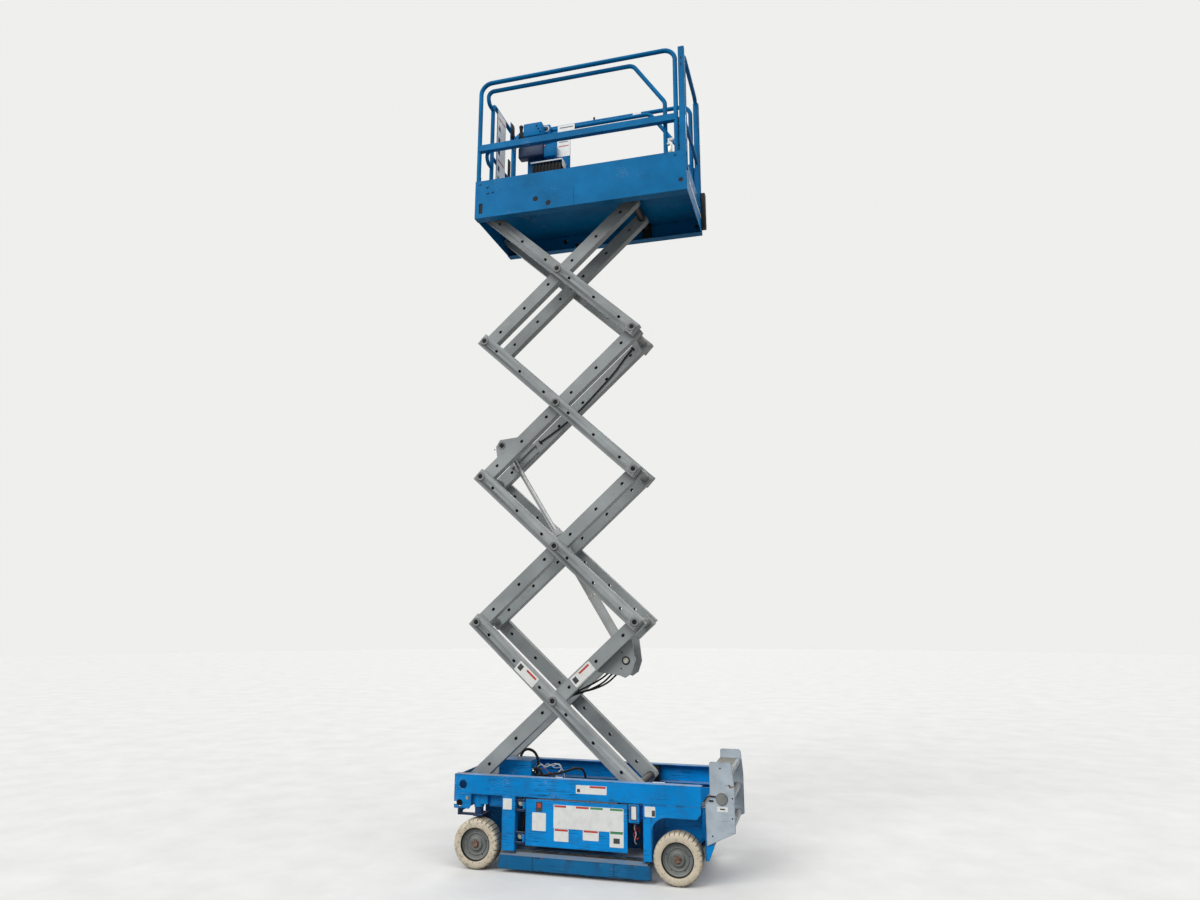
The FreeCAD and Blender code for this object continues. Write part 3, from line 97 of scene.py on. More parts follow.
class LiftColours(bpy.types.PropertyGroup):
    """Colours that a user would change"""
    chassis: colour("Chassis enamel", "Blue enamel of the chassis and trays", "008FDE")
    guard: colour("Guard enamel", "Faded blue enamel of the pothole guards", "1A6A9C")
    platform: colour("Platform enamel", "Blue enamel of the deck, panels and rails", "0074AF")
    arms: colour("Arm paint", "Light grey paint of the scissor arms", "9EA3A3")
    shaft: colour("Shaft paint", "Greasy grey of the cross shafts", "8C8E8C")
    ladder: colour("Ladder paint", "Blue-grey paint of the ladder", "B6C1CA")
    axle: colour("Axle paint", "Dark blue paint of the axle and knuckles", "1A3C66")
    rim: colour("Wheel paint", "Grey paint of the wheel centres", "7F8481")
    tyre: colour("Tyre rubber", "Cream non-marking rubber", "E0D3BB")
    barrel: colour("Barrel paint", "Light grey paint of the cylinder barrel", "B9BCBA")
    steel: colour("Plated steel", "Zinc plated pins and bolts", "A8A79F")
    chrome: colour("Hard chrome", "Chromium on the cylinder rod", "AAACAD")
    rust: colour("Rust", "Brown oxide on bare steel", "5E3A27")
    dust: colour("Floor dust", "Pale concrete dust on upward faces", "A39B8C")
    primer: colour("Chip", "Grey primer and steel that shows in chips", "A3A9AD")
    plastic: colour("Black plastic", "Moulded black polypropylene and ABS", "1B1C1D")
    hose: colour("Hose rubber", "Black rubber hose cover", "18191A")
    label: colour("Label stock", "Off-white vinyl of the blank labels", "EDEEEA")
    label_red: colour("Label red", "Red header bars", "C23A2B")
    label_yellow: colour("Label yellow", "Yellow spots", "D8A52C")
    label_green: colour("Label green", "Green header bars", "3C8A57")
    label_navy: colour("Label navy", "Navy blocks and borders", "1E3558")
    label_dark: colour("Label black", "Dark blocks", "2B2D30")


class LiftSizes(bpy.types.PropertyGroup):
    """Sizes that a user would change"""
    label_thickness: length("Label thickness", "Thickness of a vinyl label as drawn", 0.0008, 0.01)
    label_corner: length("Label corner", "Corner radius of the labels", 0.005, 0.05)
    bolt_width: length("Bolt width", "Width across the corners of a chassis bolt", 0.022, 0.05)
    hose_radius: length("Hose radius", "Radius of a hydraulic hose", 0.0075, 0.03)
    wire_radius: length("Wire radius", "Radius of a control wire", 0.0028, 0.01)
    edge_radius: length("Edge radius", "Radius to which plate edges are softened", 0.002, 0.02)
    lug_depth: length("Lug depth", "Depth of the notches in the tyre's shoulders", 0.008, 0.02)
    lugs: bpy.props.IntProperty(name="Tyre lugs", description="Notches in each shoulder", min=8, max=60,
                                default=30)


# Nodes and finishes

def add(tree, kind, inputs=(), **settings):
    """Adds a node, gives it its settings, then its inputs by name or number, as values or links."""
    node = tree.nodes.new(kind)
    for name, value in settings.items():
        setattr(node, name, value)
    for socket, value in dict(inputs).items():
        if isinstance(value, bpy.types.NodeSocket):
            tree.links.new(value, node.inputs[socket])
        else:
            node.inputs[socket].default_value = value
    return node


def new_finish(name):
    """A fresh material's node tree, its coordinates in metres and its normal, both of the object."""
    material = bpy.data.materials.new(name)
    material.use_nodes = True
    tree = material.node_tree
    tree.nodes.clear()
    coordinates = add(tree, "ShaderNodeTexCoord")
    return tree, coordinates.outputs["Object"], coordinates.outputs["Normal"]


def finish_surface(tree, shader):
    """Gives the shader to the surface."""
    add(tree, "ShaderNodeOutputMaterial", {"Surface": shader.outputs[0]})


def rgba(tint, tone=1.0, lift=0.0):
    """A linear colour with its alpha, made darker or paler."""
    return tuple(min(1.0, c * tone + lift) for c in tint[:3]) + (1.0,)


def enamel(name, paint, roughness, wear, dust, scuff, grime, gloss, gouging, chip, edge, dust_colour):
    """Sprayed enamel on steel: slight orange peel, long scuffs, gouges, chips along the edges, dust on top."""
    tree, place, normal = new_finish(name)
    upward = add(tree, "ShaderNodeSeparateXYZ", {0: normal}).outputs[2]
    # scuffs 2 mm high and about 60 mm long
    scuff_run = add(tree, "ShaderNodeMapping", {"Vector": place, "Scale": (16.0, 16.0, 420.0)}).outputs[0]
    # dark gouges 3 mm high and up to 200 mm long, rubbed into the paint by passing edges
    gouge_run = add(tree, "ShaderNodeMapping", {"Vector": place, "Scale": (5.0, 5.0, 230.0),
                                                "Location": (3, 7, 1)}).outputs[0]
    noise = {}
    for use, vector, scale, detail, fineness in (
            # the paint fades over about 300 mm, grime lies in patches of about 90 mm, marks gather over 170 mm
            ("fade", place, 3.3, 3.0, 0.55), ("grime", place, 11.0, 6.0, 0.62),
            ("where", place, 6.0, 2.0, 0.5),
            ("scuff", scuff_run, 1.0, 3.0, 0.6), ("gouge", gouge_run, 1.0, 2.0, 0.5),
            # chips are 3 to 8 mm across, and orange peel about 2 mm
            ("chip", place, 160.0, 4.0, 0.65), ("peel", place, 420.0, 1.0, 0.5)):
        noise[use] = add(tree, "ShaderNodeTexNoise", {"Vector": vector, "Scale": scale, "Detail": detail,
                                                      "Roughness": fineness}).outputs[0]
    # how far the surface turns within the softened edge, and within 12 mm
    face = add(tree, "ShaderNodeNewGeometry").outputs["Normal"]
    soft = add(tree, "ShaderNodeBevel", {"Radius": edge * 2.2}, samples=6).outputs[0]
    wide = add(tree, "ShaderNodeBevel", {"Radius": 0.012}, samples=6).outputs[0]
    edge_turn, corner_turn = (add(tree, "ShaderNodeVectorMath", {0: rounded, 1: face},
                                  operation="DOT_PRODUCT").outputs["Value"] for rounded in (soft, wide))
    chip_field = add(tree, "ShaderNodeMath", {0: noise["chip"], 1: noise["where"]}, operation="MULTIPLY")
    amount = {}
    for use, source, start, end, least, most in (
            ("fade", noise["fade"], 0.3, 0.7, 0.0, 1.0), ("grime", noise["grime"], 0.48, 0.78, 0.0, grime),
            ("scuff", noise["scuff"], 0.6, 0.7, 0.0, 1.0),
            ("scuff place", noise["where"], 0.48, 0.66, 0.0, scuff),
            ("gouge", noise["gouge"], gouging, gouging + 0.04, 0.0, scuff),
            ("gouge place", noise["where"], 0.46, 0.58, 0.12, 1.0),
            ("edge", edge_turn, 0.998, 0.9, 0.0, 1.0), ("edge chip", noise["chip"], 0.5, 0.62, 0.0, wear),
            ("field chip", chip_field.outputs[0], 0.415, 0.435, 0.0, wear),
            ("corner", corner_turn, 0.999, 0.93, 0.0, 1.0), ("dirt", noise["grime"], 0.36, 0.62, 0.0, grime),
            ("level", upward, 0.35, 0.95, 0.0, dust), ("settled", noise["grime"], 0.25, 0.65, 0.35, 1.0)):
        ranged = add(tree, "ShaderNodeMapRange", {0: source, 1: start, 2: end, 3: least, 4: most})
        amount[use] = ranged.outputs[0]
    scuffs, gouges, edge_chips, edge_dirt, dusting = (
        add(tree, "ShaderNodeMath", {0: amount[first], 1: amount[second]}, operation="MULTIPLY").outputs[0]
        for first, second in (("scuff", "scuff place"), ("gouge", "gouge place"), ("edge", "edge chip"),
                              ("corner", "dirt"), ("level", "settled")))
    chips = add(tree, "ShaderNodeMath", {0: edge_chips, 1: amount["field chip"]},
                operation="MAXIMUM").outputs[0]
    # each layer lies over those before it: grime, scuffs, gouges, chips, dirt in corners, pale dust on top
    surface = add(tree, "ShaderNodeMix", {0: amount["fade"], 6: rgba(paint, 0.8), 7: rgba(paint, 1.1, 0.002)},
                  data_type="RGBA")
    for mask, tint in ((amount["grime"], rgba(paint, 0.45, 0.018)), (scuffs, rgba(paint, 0.55, 0.22)),
                       (gouges, rgba(paint, 0.1, 0.006)), (chips, rgba(chip)),
                       (edge_dirt, rgba(paint, 0.16, 0.01)), (dusting, rgba(dust_colour))):
        surface = add(tree, "ShaderNodeMix", {0: mask, 6: surface.outputs[2], 7: tint}, data_type="RGBA")
    dull = add(tree, "ShaderNodeMath", {0: dusting, 1: amount["grime"]}, operation="ADD")
    rough = add(tree, "ShaderNodeMapRange", {0: dull.outputs[0], 1: 0.0, 2: 1.0, 3: roughness, 4: 0.85})
    relief = add(tree, "ShaderNodeMath", {0: noise["peel"], 1: chips}, operation="SUBTRACT")
    bump = add(tree, "ShaderNodeBump", {"Strength": 0.12, "Distance": 0.0006, "Height": relief.outputs[0],
                                        "Normal": soft})
    shader = add(tree, "ShaderNodeBsdfPrincipled", {"Base Color": surface.outputs[2],
                                                    "Roughness": rough.outputs[0], "IOR": 1.5,
                                                    "Specular IOR Level": gloss, "Normal": bump.outputs[0]})
    finish_surface(tree, shader)


def bare_metal(name, tint, roughness, grease, rust, rust_colour):
    """Turned or plated steel with fine lines, grease and, where asked, brown oxide."""
    tree, place, _ = new_finish(name)
    # grease lies in patches of about 30 mm, and rust in spots of about 11 mm
    patches = add(tree, "ShaderNodeTexNoise", {"Vector": place, "Scale": 35.0, "Detail": 5.0,
                                               "Roughness": 0.6})
    greased = add(tree, "ShaderNodeMapRange", {0: patches.outputs[0], 1: 0.45, 2: 0.7, 3: 0.0, 4: grease})
    body = add(tree, "ShaderNodeMix", {0: greased.outputs[0], 6: rgba(tint), 7: rgba(linear("302F2C"))},
               data_type="RGBA")
    spots = add(tree, "ShaderNodeTexNoise", {"Vector": place, "Scale": 90.0, "Detail": 6.0, "Roughness": 0.7})
    rusted = add(tree, "ShaderNodeMapRange", {0: spots.outputs[0], 1: 0.62 - 0.3 * rust, 2: 0.72 - 0.2 * rust,
                                              3: 0.0, 4: min(1.0, rust)})
    coloured = add(tree, "ShaderNodeMix", {0: rusted.outputs[0], 6: body.outputs[2], 7: rgba(rust_colour)},
                   data_type="RGBA")
    metallic = add(tree, "ShaderNodeMapRange", {0: rusted.outputs[0], 1: 0.0, 2: 1.0, 3: 1.0, 4: 0.0})
    rough = add(tree, "ShaderNodeMapRange", {0: patches.outputs[0], 1: 0.3, 2: 0.8, 3: roughness,
                                             4: roughness + 0.25})
    # lathe lines about 3 mm apart, coarser than real so that they show
    turned = add(tree, "ShaderNodeTexNoise", {"Vector": place, "Scale": 300.0, "Detail": 1.0})
    bump = add(tree, "ShaderNodeBump", {"Strength": 0.05, "Distance": 0.0003, "Height": turned.outputs[0]})
    shader = add(tree, "ShaderNodeBsdfPrincipled", {"Base Color": coloured.outputs[2],
                                                    "Metallic": metallic.outputs[0],
                                                    "Roughness": rough.outputs[0], "Normal": bump.outputs[0]})
    finish_surface(tree, shader)


def moulded(name, tint, roughness, grain, dust, specks, dust_colour):
    """Moulded plastic or rubber: fine grain, worn tone, dirt in its marks and some dust."""
    tree, place, normal = new_finish(name)
    upward = add(tree, "ShaderNodeSeparateXYZ", {0: normal})
    # the tone wanders over about 70 mm, and marks are about 14 mm across
    tone = add(tree, "ShaderNodeTexNoise", {"Vector": place, "Scale": 14.0, "Detail": 5.0, "Roughness": 0.6})
    shade = add(tree, "ShaderNodeMapRange", {0: tone.outputs[0], 1: 0.3, 2: 0.75, 3: 0.0, 4: 1.0})
    marks = add(tree, "ShaderNodeTexNoise", {"Vector": place, "Scale": 70.0, "Detail": 6.0, "Roughness": 0.7})
    marked = add(tree, "ShaderNodeMapRange", {0: marks.outputs[0], 1: 0.52, 2: 0.64, 3: 0.0, 4: specks})
    level = add(tree, "ShaderNodeMapRange", {0: upward.outputs[2], 1: 0.2, 2: 1.0, 3: dust * 0.25, 4: dust})
    settled = add(tree, "ShaderNodeMath", {0: level.outputs[0], 1: tone.outputs[0]}, operation="MULTIPLY")
    surface = add(tree, "ShaderNodeMix", {0: shade.outputs[0], 6: rgba(tint), 7: rgba(tint, 0.8)},
                  data_type="RGBA")
    for mask, layer in ((marked, rgba(dust_colour, 0.35)), (settled, rgba(dust_colour))):
        surface = add(tree, "ShaderNodeMix", {0: mask.outputs[0], 6: surface.outputs[2], 7: layer},
                      data_type="RGBA")
    grains = add(tree, "ShaderNodeTexNoise", {"Vector": place, "Scale": grain, "Detail": 2.0})
    bump = add(tree, "ShaderNodeBump", {"Strength": 0.25, "Distance": 0.0005, "Height": grains.outputs[0]})
    shader = add(tree, "ShaderNodeBsdfPrincipled", {"Base Color": surface.outputs[2], "Roughness": roughness,
                                                    "IOR": 1.46, "Specular IOR Level": 0.2,
                                                    "Normal": bump.outputs[0]})
    finish_surface(tree, shader)


def vinyl(name, tint, stain_colour, rub_colour):
    """Printed vinyl label: slightly glossy, yellowed in patches of 45 mm and rubbed in specks of 5 mm."""
    tree, place, _ = new_finish(name)
    surface = rgba(tint)
    for scale, detail, fineness, start, end, most, layer in (
            (22.0, 6.0, 0.65, 0.44, 0.8, 0.24, rgba(stain_colour, 0.6)),
            (190.0, 3.0, 0.5, 0.62, 0.72, 0.35, rgba(rub_colour, 0.8))):
        noise = add(tree, "ShaderNodeTexNoise", {"Vector": place, "Scale": scale, "Detail": detail,
                                                 "Roughness": fineness})
        mask = add(tree, "ShaderNodeMapRange", {0: noise.outputs[0], 1: start, 2: end, 3: 0.0, 4: most})
        mix = add(tree, "ShaderNodeMix", {0: mask.outputs[0], 6: surface, 7: layer}, data_type="RGBA")
        surface = mix.outputs[2]
    finish_surface(tree, add(tree, "ShaderNodeBsdfPrincipled", {"Base Color": surface, "Roughness": 0.38,
                                                                "IOR": 1.5}))


# Shapes, each a fresh bmesh in metres round its own origin

def block(size, bevel=0.0, segments=2):
    """Box centred on its origin, with its edges rounded."""
    shape = bmesh.new()
    bmesh.ops.create_cube(shape, size=1.0)
    bmesh.ops.scale(shape, vec=Vector(size), verts=shape.verts)
    if bevel:
        bmesh.ops.bevel(shape, geom=shape.edges[:], offset=bevel, segments=segments, affect="EDGES",
                        profile=0.5, material=-1)
    return shape


def disc(radius, depth, segments=24, bevel=0.0, tip=None):
    """Round bar standing on its origin, with its far edge chamfered."""
    shape = bmesh.new()
    bmesh.ops.create_cone(shape, cap_ends=True, segments=segments, radius1=radius,
                          radius2=radius if tip is None else tip, depth=depth)
    bmesh.ops.translate(shape, vec=(0, 0, depth / 2), verts=shape.verts)
    if bevel:
        rim = [e for e in shape.edges if all(v.co.z > depth - 1e-6 for v in e.verts)]
        bmesh.ops.bevel(shape, geom=rim, offset=bevel, segments=1, affect="EDGES", profile=0.5, material=-1)
    return shape


def join(shape, other):
    """Adds another shape to this one, and frees the other."""
    scratch = bpy.data.meshes.new("scratch")
    other.to_mesh(scratch)
    other.free()
    shape.from_mesh(scratch)
    bpy.data.meshes.remove(scratch)


def bolt(width, height):
    """Hexagon head on a washer, standing on its origin."""
    shape = disc(width * 0.68, height * 0.18, 20)
    join(shape, disc(width / 2, height, 6, width * 0.06))
    return shape


def lathe(profile, steps):
    """Turns a profile of (radius, height) pairs full round the Z axis."""
    shape = bmesh.new()
    corners = [shape.verts.new((radius, 0.0, height)) for radius, height in profile]
    edges = [shape.edges.new(pair) for pair in zip(corners, corners[1:])]
    bmesh.ops.spin(shape, geom=corners + edges, cent=(0, 0, 0), axis=(0, 0, 1), angle=2 * math.pi, steps=steps,
                   use_merge=True)
    bmesh.ops.remove_doubles(shape, verts=shape.verts, dist=1e-6)
    bmesh.ops.recalc_face_normals(shape, faces=shape.faces)
    return shape


def plate(width, height, thickness, corner=0.0, segments=3):
    """Flat plate standing on its origin plane, with round corners, width along X and height along Y."""
    shape = bmesh.new()
    bmesh.ops.create_grid(shape, x_segments=1, y_segments=1, size=0.5)
    bmesh.ops.scale(shape, vec=(width, height, 1.0), verts=shape.verts)
    if corner:
        bmesh.ops.bevel(shape, geom=shape.verts[:], offset=corner, segments=segments, affect="VERTICES",
                        profile=0.5, material=-1)
    raised = bmesh.ops.extrude_face_region(shape, geom=shape.faces[:])
    bmesh.ops.translate(shape, vec=(0, 0, thickness),
                        verts=[v for v in raised["geom"] if isinstance(v, bmesh.types.BMVert)])
    bmesh.ops.recalc_face_normals(shape, faces=shape.faces)
    return shape


def outline(points, thickness):
    """Plate of any outline in the XY plane, made thick by extrusion."""
    shape = bmesh.new()
    face = shape.faces.new([shape.verts.new((x, y, 0.0)) for x, y in points])
    raised = bmesh.ops.extrude_face_region(shape, geom=[face])
    bmesh.ops.translate(shape, vec=(0, 0, thickness),
                        verts=[v for v in raised["geom"] if isinstance(v, bmesh.types.BMVert)])
    bmesh.ops.recalc_face_normals(shape, faces=shape.faces)
    return shape


def hose(points, radius):
    """Hose or wire along a smooth line that starts and ends at its points and is pulled by those between."""
    curve = bpy.data.curves.new("hose", "CURVE")
    curve.dimensions = "3D"
    curve.bevel_depth = radius
    curve.bevel_resolution = 3
    curve.use_fill_caps = True
    spline = curve.splines.new("NURBS")
    spline.points.add(len(points) - 1)
    for point, place in zip(spline.points, points):
        point.co = (*place, 1.0)
    spline.order_u = 3
    spline.use_endpoint_u = True
    spline.resolution_u = 6
    holder = bpy.data.objects.new("hose", curve)
    bpy.context.scene.collection.objects.link(holder)
    mesh = bpy.data.meshes.new_from_object(holder.evaluated_get(bpy.context.evaluated_depsgraph_get()))
    shape = bmesh.new()
    shape.from_mesh(mesh)
    bpy.data.objects.remove(holder)
    bpy.data.curves.remove(curve)
    bpy.data.meshes.remove(mesh)
    bmesh.ops.remove_doubles(shape, verts=shape.verts, dist=1e-6)
    bmesh.ops.recalc_face_normals(shape, faces=shape.faces)
    return shape


def facing(place, outward, up=UP):
    """Place whose Z points outward and whose Y points as nearly up as it can."""
    z = Vector(outward).normalized()
    y = Vector(up) - z * z.dot(Vector(up))
    y.normalize()
    matrix = Matrix((y.cross(z), y, z)).transposed().to_4x4()
    matrix.translation = Vector(place)
    return matrix


def at(*place):
    """Place at a point, unturned."""
    return Matrix.Translation(Vector(place))


def arm_place(stage, outer, along, rise, y, outward):
    """Place on an arm: along it from its front pin, rise over its middle line, facing outward."""
    turn = -LIFT_ANGLE if outer else LIFT_ANGLE
    height = PIVOT.z + (stage if outer else stage - 1) * STAGE_RISE
    direction = Vector((-math.cos(LIFT_ANGLE), 0, math.sin(turn)))
    above = Vector((math.sin(turn), 0, math.cos(LIFT_ANGLE)))
    spot = Vector((PIVOT.x, y, height)) + direction * along + above * rise
    return facing(spot, outward, above)


def node_shape(node):
    """A merged copy of a CAD node's mesh."""
    shape = bmesh.new()
    shape.from_mesh(frame["nodes"][node].data)
    bmesh.ops.remove_doubles(shape, verts=shape.verts, dist=1e-5)
    return shape


def drilled(shape, cutter):
    """The shape with another one cut out of it."""
    holders = []
    for name, each in (("drilled", shape), ("cutter", cutter)):
        mesh = bpy.data.meshes.new(name)
        each.to_mesh(mesh)
        each.free()
        holder = bpy.data.objects.new(name, mesh)
        bpy.context.scene.collection.objects.link(holder)
        holders.append(holder)
    cut = holders[0].modifiers.new("cut", "BOOLEAN")
    cut.operation = "DIFFERENCE"
    cut.solver = "EXACT"
    cut.object = holders[1]
    result = bpy.data.meshes.new_from_object(holders[0].evaluated_get(bpy.context.evaluated_depsgraph_get()))
    made = bmesh.new()
    made.from_mesh(result)
    bpy.data.meshes.remove(result)
    for holder in holders:
        mesh = holder.data
        bpy.data.objects.remove(holder)
        bpy.data.meshes.remove(mesh)
    return made


class Piece:
    """One object in the making: shapes are added at their places, each with its own finish."""

    def __init__(self, name):
        self.name = name
        self.shape = bmesh.new()
        self.finishes = []

    def add(self, shape, place, finish):
        """Adds a shape at its place."""
        if finish not in self.finishes:
            self.finishes.append(finish)
        for face in shape.faces:
            face.material_index = self.finishes.index(finish)
        shape.transform(place)
        join(self.shape, shape)

    def box(self, size, edge, middle, finish, segments=2):
        """Adds an unturned box round its middle, with its edges rounded."""
        self.add(block(size, edge, segments), at(*middle), finish)

    def lay(self, points, radius, finish):
        """Adds a hose or wire along its points."""
        self.add(hose(points, radius), Matrix(), finish)

    def finish(self, body, slot, *replaced, sharp=32):
        """Makes the object, which rides the body and stands in for the replaced nodes. The slot is not used.
        """
        mesh = bpy.data.meshes.new(self.name)
        self.shape.to_mesh(mesh)
        self.shape.free()
        for finish in self.finishes:
            mesh.materials.append(bpy.data.materials[finish])
        mesh.shade_smooth()
        mesh.set_sharp_from_angle(angle=math.radians(sharp))
        made = bpy.data.objects.new(self.name, mesh)
        bpy.context.scene.collection.objects.link(made)
        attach(made, body)
        if replaced:
            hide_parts(*replaced)
        return made
ENAMELS = (
    # name, colour, its tone and lift, roughness, wear, dust, scuff, grime, gloss, gouging, colour of the chips
    # glossy blue, dulled by scuffs and by gouges that run along it
    ("chassis enamel", "chassis", 1.0, 0.0, 0.36, 0.9, 0.6, 0.9, 0.7, 0.14, 0.59, "primer"),
    # the same blue gone chalky and dark, with rust where it was struck
    ("guard enamel", "guard", 1.0, 0.0, 0.5, 1.0, 0.8, 1.0, 1.0, 0.1, 0.6, "rust"),
    # newer blue with a low sheen and few marks
    ("platform enamel", "platform", 1.0, 0.0, 0.42, 0.55, 0.25, 0.3, 0.35, 0.06, 0.66, "primer"),
    # blue overspray, dull under grease, and dark as painted shade for the parts deep inside the chassis
    ("greasy inner enamel", "chassis", 0.45, 0.006, 0.55, 0.6, 0.9, 0.4, 0.9, 0.12, 0.66, "primer"),
    # pale edge with streaks of the blue left on it
    ("worn step edge", "label", 1.0, 0.0, 0.6, 1.0, 0.2, 1.0, 0.4, 0.1, 0.56, "platform"),
    # dark blue, dull with road dirt
    ("axle enamel", "axle", 1.0, 0.0, 0.55, 0.8, 0.75, 0.3, 0.8, 0.2, 0.66, "rust"),
    # pale and smooth, with rust in its chips
    ("ladder enamel", "ladder", 1.0, 0.0, 0.38, 0.8, 0.45, 0.45, 0.5, 0.2, 0.66, "rust"),
    # even light grey with a soft sheen
    ("arm paint", "arms", 1.0, 0.0, 0.42, 0.45, 0.3, 0.22, 0.22, 0.2, 0.66, "primer"),
    # grey under a film of grease
    ("shaft paint", "shaft", 1.0, 0.0, 0.45, 0.5, 0.3, 0.4, 0.75, 0.2, 0.66, "primer"),
    ("base enamel", "arms", 1.0, 0.0, 0.45, 0.6, 0.4, 0.3, 0.6, 0.2, 0.66, "primer"),
    # smooth pale grey of a painted tube
    ("barrel paint", "barrel", 1.0, 0.0, 0.36, 0.4, 0.2, 0.2, 0.35, 0.2, 0.66, "primer"),
    # flat grey, rusty in its chips
    ("wheel paint", "rim", 1.0, 0.0, 0.48, 0.7, 0.5, 0.25, 0.55, 0.2, 0.66, "rust"),
    # black with a low sheen, nearly unmarked
    ("satin black paint", "plastic", 1.0, 0.0, 0.5, 0.2, 0.3, 0.08, 0.2, 0.12, 0.66, "primer"),
)
METALS = (
    # name, colour, roughness, grease, rust
    # dark and wet looking with oil
    ("oiled pin steel", "steel", 0.36, 0.75, 0.1),
    ("valve steel", "steel", 0.42, 0.85, 0.25),
    # bright grey with a film of grease
    ("zinc plated steel", "steel", 0.3, 0.35, 0.1),
    # brown and matt all over
    ("rusty steel", "steel", 0.55, 0.5, 1.0),
    # mirror bright and clean
    ("hard chrome", "chrome", 0.2, 0.15, 0.0),
)
MOULDINGS = (
    # name, colour, its tone, roughness, grain per metre, dust, specks of dirt
    # black plastic with a fine leather grain
    ("moulded polypropylene", "plastic", 1.0, 0.55, 700.0, 0.3, 0.0),
    # smooth and a little waxy
    ("slide nylon", "plastic", 1.0, 0.45, 500.0, 0.2, 0.0),
    # matt black hose cover
    ("black rubber", "hose", 1.0, 0.62, 900.0, 0.12, 0.0),
    # matt cream, marked by the floor, more so on the front wheels and on the tread, and darker in the notches
    ("cream rubber", "tyre", 1.0, 0.72, 500.0, 0.1, 0.35),
    ("worn cream rubber", "tyre", 1.0, 0.78, 500.0, 0.35, 0.75),
    ("tread rubber", "tyre", 0.8, 0.82, 350.0, 0.5, 0.85),
    ("notch dirt", "tyre", 0.22, 0.9, 300.0, 0.4, 0.9),
    # smooth shiny covers of wires and knobs
    ("red PVC", "label_red", 1.0, 0.4, 500.0, 0.1, 0.0),
    ("white PVC", "label", 1.0, 0.4, 500.0, 0.1, 0.0),
    # navy housing with a fine grain
    ("blue ABS", "label_navy", 1.0, 0.4, 600.0, 0.2, 0.0),
)
VINYLS = (
    ("label white", "label"), ("label red", "label_red"), ("label yellow", "label_yellow"),
    ("label green", "label_green"), ("label navy", "label_navy"), ("label black", "label_dark"),
)
NODE_FINISHES = {
    "chassis enamel": ("side_rails", "end_plates", "rear_skirts", "columns", "guard_hinges", "tray_left",
                       "tray_right", "valve_block", "switch_box", "ladder_brackets", "rear_axle",
                       "front_beam"),
    # the belly and cross plates are dark partly as painted shade deep inside the chassis, partly with grease
    "greasy inner enamel": ("belly", "cross_plates"),
    "guard enamel": ("pothole_guard_left", "pothole_guard_right"),
    "axle enamel": ("tray_hinges", "knuckle_left", "knuckle_right", "tie_rod"),
    "ladder enamel": ("ladder",),
    "satin black paint": ("hydraulic_block",),
    "base enamel": ("base_brackets",),
    "moulded polypropylene": ("battery_block",),
    "arm paint": tuple(kind + "_arms_%d" % stage for kind in ("inner", "outer") for stage in (1, 2, 3, 4))
    + ("cylinder_base_lugs", "cylinder_eye_lugs"),
    "shaft paint": ("pins_1", "pins_2", "pins_3", "pins_4"),
    "slide nylon": ("upper_shoes", "lower_shoes"),
    "barrel paint": ("cylinder_barrel",),
    "hard chrome": ("cylinder_rod",),
    "platform enamel": ("deck", "side_panels", "guard_rails", "rear_posts", "gate", "extension_deck",
                        "extension_rails", "extension_front"),
}


class LIFT_OT_finishes(bpy.types.Operator):
    """Makes every finish and gives it to the CAD nodes"""
    bl_idname = "lift.finishes"
    bl_label = "Finishes"

    def execute(self, context):
        colours = context.scene.lift_colours
        edge = context.scene.lift_sizes.edge_radius
        for name, paint, tone, lift, roughness, wear, dust, scuff, grime, gloss, gouging, chip in ENAMELS:
            enamel(name, rgba(getattr(colours, paint), tone, lift), roughness, wear, dust, scuff, grime, gloss,
                   gouging, getattr(colours, chip), edge, colours.dust)
        for name, tint, roughness, grease, rust in METALS:
            bare_metal(name, getattr(colours, tint), roughness, grease, rust, colours.rust)
        for name, tint, tone, roughness, grain, dust, specks in MOULDINGS:
            moulded(name, rgba(getattr(colours, tint), tone), roughness, grain, dust, specks, colours.dust)
        for name, tint in VINYLS:
            vinyl(name, getattr(colours, tint), colours.dust, colours.primer)
        for finish, nodes in NODE_FINISHES.items():
            for node in nodes:
                mesh = frame["nodes"][node].data
                mesh.materials.clear()
                mesh.materials.append(bpy.data.materials[finish])
        return {"FINISHED"}


WHEELS = (
    # body, node end, outward, tyre finish
    ("wheel_front_left", "front_left", NEAR, "worn cream rubber"),
    ("wheel_front_right", "front_right", FAR, "worn cream rubber"),
    ("wheel_rear_left", "rear_left", NEAR, "cream rubber"),
    ("wheel_rear_right", "rear_right", FAR, "cream rubber"),
)
TYRE_PROFILE = (
    # radius, height from the middle of the tread
    (0.0992, -0.048), (0.101, -0.0545), (0.106, -0.0568), (0.126, -0.056), (0.14, -0.0545),
    (0.1466, -0.05), (0.1506, -0.041), (0.1521, -0.027), (0.1525, 0.0), (0.1521, 0.027),
    (0.1506, 0.041), (0.1466, 0.05), (0.14, 0.0545), (0.126, 0.056), (0.106, 0.0568),
    (0.101, 0.0545), (0.0992, 0.048), (0.0992, -0.048),
)
RIM_PROFILE = (
    (0.0, 0.0205), (0.0223, 0.0205), (0.0223, -0.038), (0.038, -0.038), (0.038, 0.006), (0.086, 0.006),
    (0.087, -0.038), (0.0988, -0.038), (0.0988, 0.0425), (0.096, 0.044), (0.0915, 0.044), (0.089, 0.041),
    (0.0865, 0.033), (0.08, 0.031), (0.07, 0.031), (0.068, 0.0345), (0.064, 0.035), (0.061, 0.033),
    (0.058, 0.03), (0.047, 0.03), (0.043, 0.033), (0.04, 0.042), (0.036, 0.045), (0.03, 0.045),
    (0.0285, 0.0435), (0.0, 0.0435),
)
TYRE_BEAD = (
    # black bead between the tyre and the rim
    (0.0935, 0.0438), (0.0989, 0.0438), (0.0992, 0.05), (0.1, 0.0556), (0.0975, 0.0552), (0.095, 0.048),
    (0.0935, 0.0438),
)
# steps of the lathe from one lug to the next, of which the first is the notch
LUG_STEPS = 5
